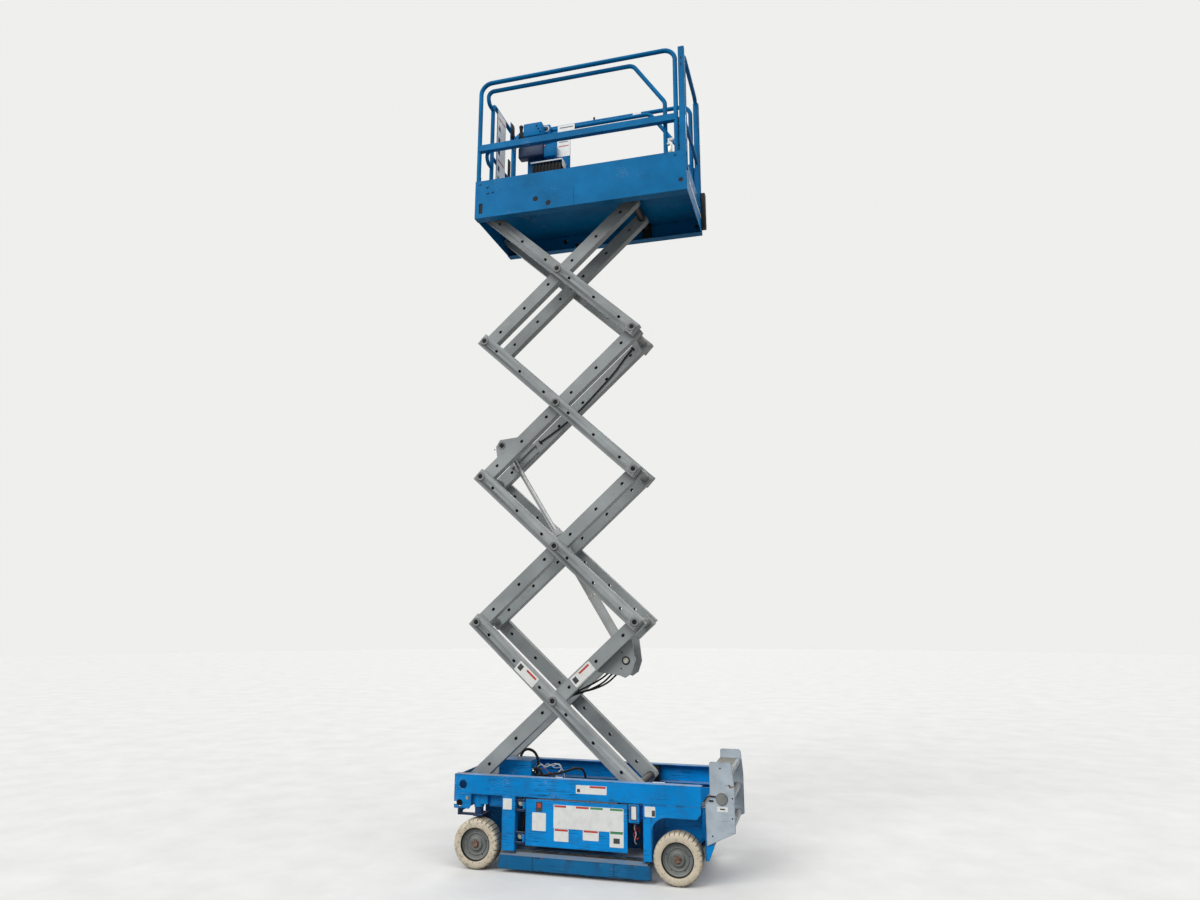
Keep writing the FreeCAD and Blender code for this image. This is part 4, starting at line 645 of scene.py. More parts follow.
# the notches reach from here outwards, and to this far from the middle of the tread
NOTCH_RADIUS = 0.133
NOTCH_END = 0.012
# outside this radius the rubber is worn uneven, by at most this share
WORN_RADIUS = 0.144
WEAR = 0.006
# what is outside this radius and within this of the middle is tread
TREAD_RADIUS = 0.1495
TREAD_HALF = 0.044
HUB_NUT = (
    # radius, depth, sides, chamfer and place of the cap, the nut and the stub's end
    (0.0245, 0.003, 32, 0.0008, 0.043), (0.019, 0.01, 6, 0.002, 0.0455), (0.0095, 0.0045, 20, 0.0015, 0.0505),
)


class LIFT_OT_tyres(bpy.types.Operator):
    """Turns the four solid rubber tyres and notches their shoulders"""
    bl_idname = "lift.tyres"
    bl_label = "Tyres"

    def execute(self, context):
        sizes = context.scene.lift_sizes
        steps = sizes.lugs * LUG_STEPS
        for body, end, outward, rubber in WHEELS:
            hub = Vector(JOINTS[body]["pos_m"])
            shape = lathe(TYRE_PROFILE, steps)
            notches = []
            for face in shape.faces:
                centre = face.calc_center_median()
                step = int((math.atan2(centre.y, centre.x) / (2 * math.pi) + 1) * steps) % LUG_STEPS
                if step == 0 and math.hypot(centre.x, centre.y) > NOTCH_RADIUS and abs(centre.z) > NOTCH_END:
                    notches.append(face)
            bmesh.ops.inset_region(shape, faces=notches, thickness=0.0008, depth=-sizes.lug_depth,
                                   use_even_offset=True)
            shape.faces.index_update()
            floors = sorted(face.index for face in notches)
            wear = random.Random(len(end) + len(body))
            for vert in shape.verts:
                if math.hypot(vert.co.x, vert.co.y) > WORN_RADIUS:
                    vert.co *= 1 - wear.random() * WEAR
            piece = Piece("solid_tyre_" + end)
            piece.add(shape, facing(hub, outward), rubber)
            made = piece.finish(body, "cream_tyre", "tyre_" + end, sharp=35)
            made.data.materials.append(bpy.data.materials["tread rubber"])
            made.data.materials.append(bpy.data.materials["notch dirt"])
            for polygon in made.data.polygons:
                spot = polygon.center - hub
                if math.hypot(spot.x, spot.z) > TREAD_RADIUS and abs(spot.y) < TREAD_HALF:
                    polygon.material_index = 1
            # the floors of the notches take the darker rubber
            for index in floors:
                made.data.polygons[index].material_index = 2
        return {"FINISHED"}


class LIFT_OT_wheel_centres(bpy.types.Operator):
    """Turns the pressed wheel centres with their hub nuts"""
    bl_idname = "lift.wheel_centres"
    bl_label = "Wheel centres"

    def execute(self, context):
        for body, end, outward, _ in WHEELS:
            place = facing(JOINTS[body]["pos_m"], outward)
            piece = Piece("wheel_centre_" + end)
            piece.add(lathe(RIM_PROFILE, 72), place, "wheel paint")
            for radius, depth, sides, chamfer, proud in HUB_NUT:
                piece.add(disc(radius, depth, sides, chamfer), place @ at(0, 0, proud), "rusty steel")
            piece.add(lathe(TYRE_BEAD, 72), place, "black rubber")
            for hole in range(5):
                turn = Matrix.Rotation(hole * 2 * math.pi / 5 + 0.3, 4, "Z")
                piece.add(disc(0.0032, 0.0012, 12), place @ turn @ at(0.0745, 0, 0.0304), "satin black paint")
            piece.finish(body, "rim_grey", "rim_" + end)
        return {"FINISHED"}


ARM_LABELS = (
    # stage, outer arm, along from the front pin, near face
    (1, True, 0.512, OUTER_ARM_Y),
    (1, False, 1.02, INNER_ARM_Y),
)
# oval holes of each arm, from its middle
ARM_HOLES = (-0.636, -0.381, -0.127, 0.127, 0.381, 0.636)
PIN_WASHER = (
    # radius, height over the boss
    (0.016, 0.0), (0.031, 0.0), (0.031, 0.0014), (0.029, 0.0034), (0.018, 0.0034), (0.016, 0.0014),
    (0.016, 0.0),
)


class LIFT_OT_arms(bpy.types.Operator):
    """Drills the oval holes through copies of the scissor arms"""
    bl_idname = "lift.arms"
    bl_label = "Arms"

    def execute(self, context):
        for stage in range(1, STAGES + 1):
            for kind in ("inner", "outer"):
                node = "%s_arms_%d" % (kind, stage)
                cutter = bmesh.new()
                for offset in ARM_HOLES:
                    for side, outward in SIDES:
                        hole = disc(0.01, 0.17, 20)
                        bmesh.ops.scale(hole, vec=(1.25, 1.0, 1.0), verts=hole.verts)
                        hole.transform(arm_place(stage, kind == "outer", ARM_LENGTH / 2 + offset, 0.0,
                                                 side * 0.1, outward))
                        join(cutter, hole)
                piece = Piece("drilled_" + node)
                piece.add(drilled(node_shape(node), cutter), Matrix(), "arm paint")
                piece.finish("%s_%d" % (kind, stage), "arm_grey", node, sharp=25)
        return {"FINISHED"}


class LIFT_OT_stack_fittings(bpy.types.Operator):
    """Adds the pin washers, square pin plates, bolts and blank labels of the scissor stack"""
    bl_idname = "lift.stack_fittings"
    bl_label = "Stack fittings"

    def execute(self, context):
        sizes = context.scene.lift_sizes
        for stage in range(1, STAGES + 1):
            for outer in (False, True):
                body = ("outer_%d" if outer else "inner_%d") % stage
                piece = Piece("pin_caps_" + body)
                arm_y = OUTER_ARM_Y if outer else INNER_ARM_Y
                for along in (0.0, ARM_LENGTH / 2, ARM_LENGTH):
                    for side, outward in SIDES:
                        if outer:
                            face = arm_place(stage, outer, along, 0.0, side * (arm_y + BOSS_HEIGHT), outward)
                            piece.add(lathe(PIN_WASHER, 36), face, "shaft paint")
                            # black disc in the bore of each washer: painted shade for the deep recess of the
                            # pin, and grease
                            piece.add(disc(0.0157, 0.001, 24), face @ at(0, 0, 0.0002), "satin black paint")
                        if outer and along == ARM_LENGTH and stage > 1:
                            face = arm_place(stage, outer, along - 0.004, 0.0, side * arm_y, outward)
                            piece.add(plate(0.068, 0.068, 0.0056, 0.004, 2), face, "arm paint")
                        if not outer and along == ARM_LENGTH:
                            face = arm_place(stage, outer, along, 0.0, side * (arm_y + 0.0002), outward)
                            piece.add(bolt(sizes.bolt_width * 0.7, 0.006), face @ at(-0.03, 0.022, 0),
                                      "zinc plated steel")
                for label_stage, label_outer, along, y in ARM_LABELS:
                    if (label_stage, label_outer) == (stage, outer):
                        face = arm_place(stage, outer, along, 0.0, y + 0.0001, NEAR)
                        for across, up, width, height, raised, corner, finish in (
                                (0.0, 0.0, 0.18, 0.075, 0.0, sizes.label_corner, "label white"),
                                (-0.062, 0.004, 0.034, 0.04, 0.0003, 0.002, "label black"),
                                (0.03, 0.02, 0.09, 0.014, 0.0003, 0.002, "label red")):
                            piece.add(plate(width, height, sizes.label_thickness + raised, corner),
                                      face @ at(across, up, 0), finish)
                piece.finish(body, "pin_steel")
        return {"FINISHED"}


CHASSIS_LABELS = (
    # body, x, z, width, height, y of the face, finish, raised
    ("root", -0.021, 0.5225, 0.201, 0.051, NEAR_RAIL_Y, "label white", 0),
    ("root", -0.063, 0.54, 0.104, 0.012, NEAR_RAIL_Y, "label red", 1),
    ("root", 0.062, 0.515, 0.02, 0.02, NEAR_RAIL_Y, "label black", 1),
    ("root", 0.54, 0.41, 0.06, 0.066, NEAR_RAIL_Y, "label white", 0),
    ("root", -0.396, 0.416, 0.067, 0.06, NEAR_RAIL_Y, "label white", 0),
    ("root", -0.418, 0.408, 0.02, 0.034, NEAR_RAIL_Y, "label black", 1),
    ("root", -0.294, 0.403, 0.044, 0.086, TRAY_FACE_Y, "label navy", 0),
    ("root", -0.294, 0.403, 0.03, 0.074, TRAY_FACE_Y, "label white", 1),
    ("tray_left", -0.001, 0.354, 0.456, 0.138, TRAY_FACE_Y, "label white", 0),
    ("tray_left", 0.183, 0.4145, 0.078, 0.012, TRAY_FACE_Y, "label red", 1),
    ("tray_left", 0.037, 0.4145, 0.084, 0.012, TRAY_FACE_Y, "label red", 1),
    ("tray_left", -0.055, 0.4145, 0.082, 0.012, TRAY_FACE_Y, "label green", 1),
    ("tray_left", -0.184, 0.4145, 0.083, 0.012, TRAY_FACE_Y, "label green", 1),
    ("tray_left", 0.175, 0.246, 0.096, 0.075, TRAY_FACE_Y, "label white", 0),
    ("tray_left", 0.175, 0.275, 0.086, 0.012, TRAY_FACE_Y, "label red", 1),
    ("tray_left", -0.018, 0.256, 0.103, 0.06, TRAY_FACE_Y, "label white", 0),
    ("tray_left", -0.018, 0.278, 0.092, 0.011, TRAY_FACE_Y, "label red", 1),
    ("tray_left", -0.184, 0.243, 0.089, 0.091, TRAY_FACE_Y, "label white", 0),
    ("tray_left", -0.184, 0.28, 0.08, 0.012, TRAY_FACE_Y, "label green", 1),
    ("tray_left", -0.184, 0.235, 0.04, 0.03, TRAY_FACE_Y, "label black", 1),
    ("tray_left", 0.324, 0.316, 0.092, 0.107, TRAY_FACE_Y, "label white", 0),
    ("tray_left", 0.324, 0.405, 0.044, 0.06, TRAY_FACE_Y, "label black", 0),
    ("tray_left", 0.324, 0.412, 0.022, 0.024, TRAY_FACE_Y, "label red", 1),
    ("tray_right", 0.05, 0.365, 0.3, 0.112, -TRAY_FACE_Y, "label white", 0),
    ("tray_right", -0.02, 0.413, 0.14, 0.012, -TRAY_FACE_Y, "label red", 1),
    ("tray_right", 0.12, 0.413, 0.13, 0.012, -TRAY_FACE_Y, "label green", 1),
)


class LIFT_OT_chassis_labels(bpy.types.Operator):
    """Sticks the blank labels with their plain colour bars on the chassis and trays"""
    bl_idname = "lift.chassis_labels"
    bl_label = "Chassis labels"

    def execute(self, context):
        sizes = context.scene.lift_sizes
        pieces = {}
        for body, x, z, width, height, y, finish, raised in CHASSIS_LABELS:
            side, outward = ("near", NEAR) if y > 0 else ("far", FAR)
            if body not in pieces:
                pieces[body] = Piece("labels_%s_%s" % (side, body))
            corner = min(sizes.label_corner, width / 4, height / 4) if not raised else 0.0015
            pieces[body].add(plate(width, height, sizes.label_thickness + raised * 0.0004, corner),
                             facing((x, y, z), outward), finish)
        for body, piece in pieces.items():
            piece.finish(body, "chassis_blue")
        return {"FINISHED"}


WIRES = (
    # finish, thickness, points from the blue valve cover back into the well
    ("black rubber", 1.25, ((0.6, 0.01, 0.628), (0.585, 0.006, 0.676), (0.545, 0.0, 0.694),
      (0.49, 0.0, 0.672), (0.464, 0.004, 0.61), (0.474, 0.01, 0.545), (0.48, 0.02, 0.48))),
    ("black rubber", 1.25, ((0.491, 0.046, 0.56), (0.462, 0.052, 0.585), (0.43, 0.052, 0.56),
      (0.414, 0.045, 0.505), (0.43, 0.04, 0.44))),
    ("black rubber", 1.0, ((0.491, 0.02, 0.54), (0.45, 0.03, 0.52), (0.38, 0.02, 0.535), (0.3, 0.0, 0.545),
      (0.215, -0.03, 0.575), (0.16, -0.06, 0.57), (0.15, -0.092, 0.48), (0.15, -0.1, 0.4))),
    ("black rubber", 0.9, ((0.491, -0.06, 0.52), (0.44, -0.05, 0.5), (0.4, -0.02, 0.535),
      (0.35, 0.02, 0.54), (0.33, 0.06, 0.5), (0.345, 0.07, 0.44))),
    ("white PVC", 0.45, ((0.492, -0.02, 0.59), (0.47, -0.03, 0.604), (0.43, -0.01, 0.575),
      (0.4, 0.01, 0.606), (0.37, -0.01, 0.58), (0.33, -0.03, 0.604), (0.3, -0.02, 0.57),
      (0.33, 0.0, 0.545), (0.345, 0.02, 0.47))),
    ("white PVC", 0.45, ((0.492, 0.0, 0.58), (0.474, 0.03, 0.57), (0.44, 0.04, 0.604), (0.4, 0.03, 0.58),
      (0.35, 0.01, 0.608), (0.31, 0.0, 0.595), (0.3, -0.02, 0.56), (0.345, -0.01, 0.54),
      (0.36, 0.0, 0.46))),
    ("white PVC", 0.45, ((0.492, -0.04, 0.57), (0.462, -0.05, 0.594), (0.436, -0.04, 0.555),
      (0.4, -0.04, 0.592), (0.36, -0.05, 0.56), (0.32, -0.04, 0.58), (0.29, -0.05, 0.53),
      (0.3, -0.06, 0.45))),
    ("red PVC", 0.4, ((0.492, -0.01, 0.56), (0.474, 0.0, 0.545), (0.44, -0.02, 0.574), (0.4, 0.0, 0.55),
      (0.37, 0.01, 0.52), (0.38, 0.02, 0.45))),
)
HINGE_HOSES = (
    # points of the hoses at the front hinge of each tray, which also fill the gap there with black as painted
    # shade
    ((0.436, 0.3, 0.44), (0.446, 0.322, 0.4), (0.462, 0.318, 0.35), (0.444, 0.31, 0.3),
     (0.46, 0.316, 0.24), (0.45, 0.3, 0.18)),
    ((0.466, 0.29, 0.44), (0.47, 0.312, 0.38), (0.448, 0.318, 0.33), (0.472, 0.306, 0.27),
     (0.446, 0.314, 0.21), (0.47, 0.296, 0.17)),
    ((0.45, 0.28, 0.43), (0.478, 0.3, 0.36), (0.458, 0.298, 0.29), (0.474, 0.29, 0.2)),
)
SWITCH_WIRES = (
    # finish, points down from the switch box
    ("red PVC", ((-0.285, 0.318, 0.35), (-0.3, 0.326, 0.3), (-0.272, 0.322, 0.262), (-0.3, 0.318, 0.232),
      (-0.318, 0.3, 0.262), (-0.3, 0.29, 0.3))),
    ("white PVC", ((-0.3, 0.316, 0.35), (-0.276, 0.322, 0.312), (-0.3, 0.324, 0.27),
      (-0.276, 0.316, 0.225), (-0.29, 0.295, 0.205))),
    ("black rubber", ((-0.318, 0.312, 0.35), (-0.326, 0.312, 0.29), (-0.3, 0.306, 0.24),
      (-0.318, 0.296, 0.19))),
    ("black rubber", ((-0.27, 0.306, 0.35), (-0.262, 0.308, 0.3), (-0.286, 0.306, 0.25),
      (-0.266, 0.296, 0.195))),
)


class LIFT_OT_chassis_wiring(bpy.types.Operator):
    """Runs the hoses and wires behind the valve cover, at the tray hinges and under the switch box"""
    bl_idname = "lift.chassis_wiring"
    bl_label = "Chassis wiring"

    def execute(self, context):
        sizes = context.scene.lift_sizes
        piece = Piece("chassis_wiring")
        for finish, thick, points in WIRES:
            radius = sizes.hose_radius if finish == "black rubber" else sizes.wire_radius * 2
            piece.lay(points, radius * thick, finish)
        # hoses at the tray hinges: partly painted shade, black that fills the unlit gap there
        for points in HINGE_HOSES:
            for side, _ in SIDES:
                piece.lay([(x, side * y, z) for x, y, z in points], sizes.hose_radius, "black rubber")
        for finish, points in SWITCH_WIRES:
            radius = sizes.hose_radius * 0.8 if finish == "black rubber" else sizes.wire_radius * 1.3
            piece.lay(points, radius, finish)
        for place, outward in (((0.496, 0.046, 0.56), REAR), ((0.496, 0.02, 0.54), REAR),
                               ((0.6, 0.01, 0.625), UP)):
            piece.add(disc(0.014, 0.018, 6, 0.002), facing(place, outward, (0, 1, 0)), "zinc plated steel")
        piece.finish("root", "battery_plastic")
        return {"FINISHED"}


class LIFT_OT_controls(bpy.types.Operator):
    """Builds the platform control station that hangs on the extension's far rail"""
    bl_idname = "lift.controls"
    bl_label = "Controls"

    def execute(self, context):
        piece = Piece("control_station")
        back = -0.2917
        # back plate with its hook, and the plate that carries the labels beside it
        piece.box((0.305, 0.006, 0.411), 0.002, (0.593, back - 0.003, 5.4443), "platform enamel")
        piece.box((0.06, 0.006, 0.094), 0.002, (0.4705, back - 0.003, 5.1918), "platform enamel")
        piece.box((0.08, 0.006, 0.45), 0.002, (0.4045, back - 0.003, 5.467), "platform enamel")
        # sloping console with the switch plate, the ring of the stop button and the joystick
        piece.box((0.165, 0.12, 0.124), 0.01, (0.663, back + 0.06, 5.6228), "platform enamel", 3)
        piece.box((0.066, 0.03, 0.11), 0.004, (0.57, back + 0.015, 5.65), "platform enamel")
        ring = facing((0.572, back + 0.03, 5.664), NEAR)
        piece.add(lathe(((0.02, 0.0), (0.03, 0.0), (0.03, 0.005), (0.028, 0.007), (0.022, 0.007),
                         (0.02, 0.005), (0.02, 0.0)), 36), ring, "white PVC")
        piece.add(disc(0.014, 0.012, 28, 0.003), ring, "blue ABS")
        for up in (0.03, 0.0, -0.03):
            piece.add(disc(0.0065, 0.006, 16, 0.001), facing((0.61 + 0.5 * up, back + 0.12, 5.62 + up), NEAR),
                      "satin black paint")
        piece.box((0.052, 0.05, 0.052), 0.006, (0.769, back + 0.07, 5.595), "black rubber", 3)
        piece.add(disc(0.022, 0.016, 24, 0.004), at(0.78, back + 0.07, 5.618), "black rubber")
        piece.add(disc(0.012, 0.056, 20, 0.001, 0.016), at(0.783, back + 0.07, 5.632), "black rubber")
        piece.add(disc(0.018, 0.02, 24, 0.007), at(0.783, back + 0.07, 5.686), "black rubber")
        piece.add(hose(((0.772, back + 0.07, 5.59), (0.792, back + 0.066, 5.56), (0.8, back + 0.056, 5.52),
                        (0.786, back + 0.05, 5.49)), 0.0048), Matrix(), "black rubber")
        # navy control box, the blue box beside it and its red lamp
        piece.box((0.226, 0.078, 0.104), 0.014, (0.6925, back + 0.039, 5.45), "blue ABS", 4)
        piece.box((0.1, 0.066, 0.116), 0.006, (0.529, back + 0.033, 5.44), "platform enamel")
        piece.add(disc(0.0065, 0.005, 16, 0.001), facing((0.568, back + 0.066, 5.482), NEAR), "label red")
        # ribbed black outlet under its bracket
        piece.box((0.258, 0.088, 0.1), 0.012, (0.5405, back + 0.046, 5.252), "black rubber", 3)
        for step in range(9):
            fall = 0.0011 * (step - 4) ** 2
            middle = (0.4215 + 0.0298 * step, back + 0.049, 5.2558 - fall / 2)
            piece.box((0.015, 0.098, 0.11 - fall), 0.004, middle, "black rubber")
        piece.box((0.278, 0.104, 0.005), 0.001, (0.5395, back + 0.052, 5.316), "platform enamel")
        piece.box((0.278, 0.002, 0.012), 0.0005, (0.5395, back + 0.1045, 5.315), "white PVC")
        piece.box((0.002, 0.104, 0.07), 0.0005, (0.4005, back + 0.052, 5.285), "white PVC")
        for x, z, width, height, finish in (
                (0.402, 5.638, 0.15, 0.11, "label white"), (0.4, 5.67, 0.12, 0.01, "label black"),
                (0.423, 5.477, 0.114, 0.156, "label white"), (0.423, 5.496, 0.092, 0.01, "label red"),
                (0.423, 5.536, 0.08, 0.008, "label black")):
            proud = 0.0016 if finish == "label white" else 0.0022
            piece.add(plate(width, height, proud, 0.003), facing((x, back, z), NEAR), finish)
        piece.finish("extension", "battery_plastic", "control_box")
        return {"FINISHED"}


LADDER_STEPS = (0.668, 0.516, 0.352)


class LIFT_OT_ladder_fittings(bpy.types.Operator):
    """Rounds the ladder's top corners and adds its cap, lever, label, step treads and bolts"""
    bl_idname = "lift.ladder_fittings"
    bl_label = "Ladder fittings"

    def execute(self, context):
        sizes = context.scene.lift_sizes
        rounded = node_shape("ladder")
        bmesh.ops.dissolve_limit(rounded, angle_limit=0.01, verts=rounded.verts, edges=rounded.edges)
        corners = [edge for edge in rounded.edges
                   if min(vert.co.z for vert in edge.verts) > 0.706
                   and abs(edge.verts[0].co.x - edge.verts[1].co.x) < 1e-4
                   and abs(edge.verts[0].co.z - edge.verts[1].co.z) < 1e-4]
        bmesh.ops.bevel(rounded, geom=corners, offset=0.006, segments=4, affect="EDGES", profile=0.5,
                        material=-1)
        ladder = Piece("rounded_ladder")
        ladder.add(rounded, Matrix(), "ladder enamel")
        ladder.finish("root", "ladder_grey", "ladder", sharp=25)

        piece = Piece("ladder_fittings")
        piece.add(disc(0.036, 0.004, 40, 0.0012), facing((-0.839, NEAR_RAIL_Y, 0.513), NEAR), "shaft paint")
        piece.add(plate(0.066, 0.028, sizes.label_thickness, 0.002),
                  facing((-0.841, NEAR_RAIL_Y, 0.455), NEAR), "label white")
        piece.add(plate(0.03, 0.008, sizes.label_thickness + 0.0004, 0.001),
                  facing((-0.841, NEAR_RAIL_Y, 0.456), NEAR), "label black")
        lever = ((-0.728, 0.374, 0.492), (-0.742, 0.38, 0.508), (-0.752, 0.386, 0.524), (-0.772, 0.386, 0.529),
                 (-0.803, 0.385, 0.525))
        piece.add(hose(lever, 0.0042), Matrix(), "satin black paint")
        piece.box((0.026, 0.004, 0.01), 0.001, (-0.775, NEAR_RAIL_Y + 0.002, 0.5), "satin black paint")
        for x, z in ((-0.833, 0.687), (-0.778, 0.302), (-0.899, 0.406), (-0.902, 0.519)):
            for y, outward in ((NEAR_RAIL_Y, NEAR), (-0.158, FAR)):
                piece.add(disc(0.0048, 0.0006, 12), facing((x, y, z), outward), "satin black paint")
        for x, z, width, height in ((-0.898, 0.584, 0.034, 0.02), (-0.884, 0.592, 0.016, 0.01),
                                    (-0.868, 0.59, 0.01, 0.007)):
            flake = outline(((-0.5 * width, 0.0), (-0.28 * width, -0.42 * height),
                             (0.12 * width, -0.3 * height),
                             (0.46 * width, -0.12 * height), (0.36 * width, 0.34 * height),
                             (-0.02 * width, 0.22 * height), (-0.3 * width, 0.46 * height)), 0.0004)
            piece.add(flake, facing((x, NEAR_RAIL_Y, z), NEAR), "rusty steel")
        for height in LADDER_STEPS:
            for tooth in range(22):
                y = -0.128 + 0.0225 * tooth
                piece.box((0.11, 0.005, 0.004), 0.0012, (-0.822, y, height + 0.0016), "zinc plated steel", 1)
                piece.box((0.11, 0.01, 0.0008), 0, (-0.822, y + 0.0112, height + 0.0002), "satin black paint")
        piece.finish("root", "ladder_grey")
        return {"FINISHED"}


class LIFT_OT_chassis_fittings(bpy.types.Operator):
    """Adds the guard seams, the tray hinge bolts, the rail bolts, and a dark plate behind the tie-down notch
    that is painted shade
    """
    bl_idname = "lift.chassis_fittings"
    bl_label = "Chassis fittings"

    def execute(self, context):
        sizes = context.scene.lift_sizes
        piece = Piece("chassis_fittings")
        for side, outward in SIDES:
            for z in (0.415, 0.217):
                piece.add(bolt(0.026, 0.01), facing((0.458, side * 0.352, z), outward), "zinc plated steel")
                piece.add(disc(0.015, 0.034, 20, 0.002), facing((0.458, side * 0.3, z), outward),
                          "zinc plated steel")
            piece.add(bolt(sizes.bolt_width * 0.8, 0.006), facing((0.82, side * NEAR_RAIL_Y, 0.432), outward),
                      "valve steel")
            # dark plate behind the tie-down notch: painted shade, a black sheet where the notch shows only
            # shadow
            piece.box((0.06, 0.004, 0.076), 0.001, (0.88, side * 0.351, 0.415), "satin black paint")
        for x, z in ((0.29, 0.505), (0.33, 0.512)):
            piece.add(bolt(0.018, 0.006), facing((x, -NEAR_RAIL_Y + 0.006, z), NEAR), "zinc plated steel")
        piece.finish("root", "pin_steel")
        for side, outward, body in ((1, NEAR, "guard_left"), (-1, FAR, "guard_right")):
            guard = Piece("guard_seams_" + body)
            for x in (-0.165, 0.366):
                guard.box((0.0028, 0.001, 0.08), 0, (x, side * 0.3762, 0.066), "satin black paint")
                guard.box((0.05, 0.001, 0.0024), 0, (x - 0.025, side * 0.3762, 0.1), "satin black paint")
            for x in (-0.3, 0.3):
                guard.add(disc(0.005, 0.002, 12, 0.0005), facing((x, side * 0.376, 0.098), outward),
                          "rusty steel")
            guard.finish(body, "chassis_blue")
        return {"FINISHED"}


PANEL_BOLTS = (
    # x, z of the small bolts on each platform panel
    (0.815, 4.81), (0.81, 4.759), (0.769, 4.761), (0.877, 4.842), (-0.64, 4.842),
)
PANEL_PLUGS = (
    # x, z, radius of the rubber plugs in the holes of each platform panel
    (0.4225, 4.6528, 0.0199), (0.3205, 4.6068, 0.0199), (-0.6775, 4.6388, 0.0159),
)


class LIFT_OT_platform_fittings(bpy.types.Operator):
    """Adds the plugs, bolts, latch and worn patches of the platform"""
    bl_idname = "lift.platform_fittings"
    bl_label = "Platform fittings"

    def execute(self, context):
        piece = Piece("platform_fittings")
        for side, outward in SIDES:
            for x, z, radius in PANEL_PLUGS:
                piece.add(disc(radius, 0.0058, 28, 0.001), facing((x, side * 0.3636, z), outward),
                          "black rubber")
            for x, z in PANEL_BOLTS:
                piece.add(bolt(0.017, 0.0045), facing((x, side * 0.37, z), outward), "platform enamel")
            piece.box((0.04, 0.002, 0.094), 0, (0.8655, side * 0.364, 4.6348), "satin black paint")
            piece.box((0.0016, 0.0006, 0.15), 0, (0.124, side * 0.3702, 4.636), "satin black paint")
            for z in (5.077, 5.12, 4.925):
                piece.add(bolt(0.018, 0.005), facing((-0.6722, side * 0.355, z), outward), "satin black paint")
            for z in (5.622, 5.569):
                piece.add(plate(0.008, 0.026, 0.0006, 0.003), facing((-0.698, side * 0.37, z), outward),
                          "satin black paint")
            piece.box((0.026, 0.024, 0.052), 0.003, (0.893, side * 0.352, 4.892), "platform enamel")
        # gate latch, with its chain ring and worn plate
        piece.box((0.03, 0.01, 0.06), 0.002, (-0.604, 0.362, 4.897), "zinc plated steel")
        piece.add(disc(0.01, 0.016, 16, 0.002), facing((-0.592, 0.36, 4.935), NEAR), "white PVC")
        piece.box((0.036, 0.006, 0.02), 0.001, (-0.612, 0.36, 4.975), "white PVC")
        piece.add(hose(((-0.604, 0.364, 4.93), (-0.592, 0.366, 4.955), (-0.6, 0.362, 4.985),
                        (-0.622, 0.358, 4.96), (-0.616, 0.36, 4.915)), 0.0022), Matrix(), "zinc plated steel")
        # label on the far top rail, and the knob beside it
        piece.box((0.072, 0.0016, 0.02), 0.0004, (-0.205, -0.3355, 5.7188), "label white", 1)
        piece.add(disc(0.0085, 0.034, 16, 0.002), at(0.172, -0.353, 5.728), "black rubber")
        # white vinyl strip inside the gate opening
        piece.add(plate(0.024, 0.19, 0.0008, 0.003), facing((-0.7205, 0.353, 5.06), REAR), "label white")
        # black charger socket box at the far rear corner
        piece.box((0.036, 0.056, 0.3), 0.006, (-0.7385, -0.334, 4.745), "moulded polypropylene")
        # paint worn off the deck's edge under the gate
        piece.add(outline(((-0.27, -0.012), (-0.12, -0.015), (0.04, -0.01), (0.16, -0.014), (0.32, -0.009),
                           (0.325, 0.01), (0.18, 0.015), (0.06, 0.012), (-0.06, 0.016), (-0.265, 0.011)),
                          0.0005), facing((-0.7205, -0.02, 4.683), REAR), "worn step edge")
        piece.finish("platform", "platform_blue")
        return {"FINISHED"}


class LIFT_OT_extension_fittings(bpy.types.Operator):
    """Dresses the notice board and the hook plate at the front of the extension"""
    bl_idname = "lift.extension_fittings"
    bl_label = "Extension fittings"

    def execute(self, context):
        piece = Piece("extension_fittings")
        board = facing((0.8345, 0.0775, 5.2513), REAR)
        piece.add(plate(0.17, 0.728, 0.001, 0.004), board, "label white")
        for across, up, width, height, finish in (
                (-0.04, 0.3, 0.062, 0.016, "label red"), (0.036, 0.3, 0.062, 0.016, "label red"),
                (-0.046, 0.215, 0.04, 0.044, "label black"), (-0.046, 0.11, 0.04, 0.044, "label black"),
                (-0.046, 0.005, 0.04, 0.044, "label black"), (0.0, -0.07, 0.14, 0.012, "label red"),
                (-0.046, -0.14, 0.04, 0.044, "label black"), (-0.046, -0.23, 0.04, 0.044, "label black"),
                (0.01, -0.325, 0.03, 0.034, "label yellow")):
            piece.add(plate(width, height, 0.0014, 0.002), board @ at(across, up, 0), finish)
        for side in (1, -1):
            for up in (-0.345, 0.345):
                piece.add(disc(0.006, 0.004, 14, 0.001), board @ at(side * 0.078, up, 0), "zinc plated steel")
        # black strap and box hung beside the board, and the black half of the hook plate
        piece.box((0.01, 0.046, 0.15), 0.003, (0.838, -0.105, 5.245), "black rubber")
        piece.box((0.02, 0.048, 0.12), 0.006, (0.827, -0.134, 5.605), "moulded polypropylene")
        piece.box((0.006, 0.04, 0.09), 0.001, (0.829, -0.176, 5.56), "platform enamel")
        for y in (0.272, -0.272):
            for up in (4.745, 4.83):
                piece.add(disc(0.008, 0.004, 16, 0.001), facing((0.8485, y, up), REAR), "zinc plated steel")
        piece.finish("extension", "platform_blue")
        return {"FINISHED"}


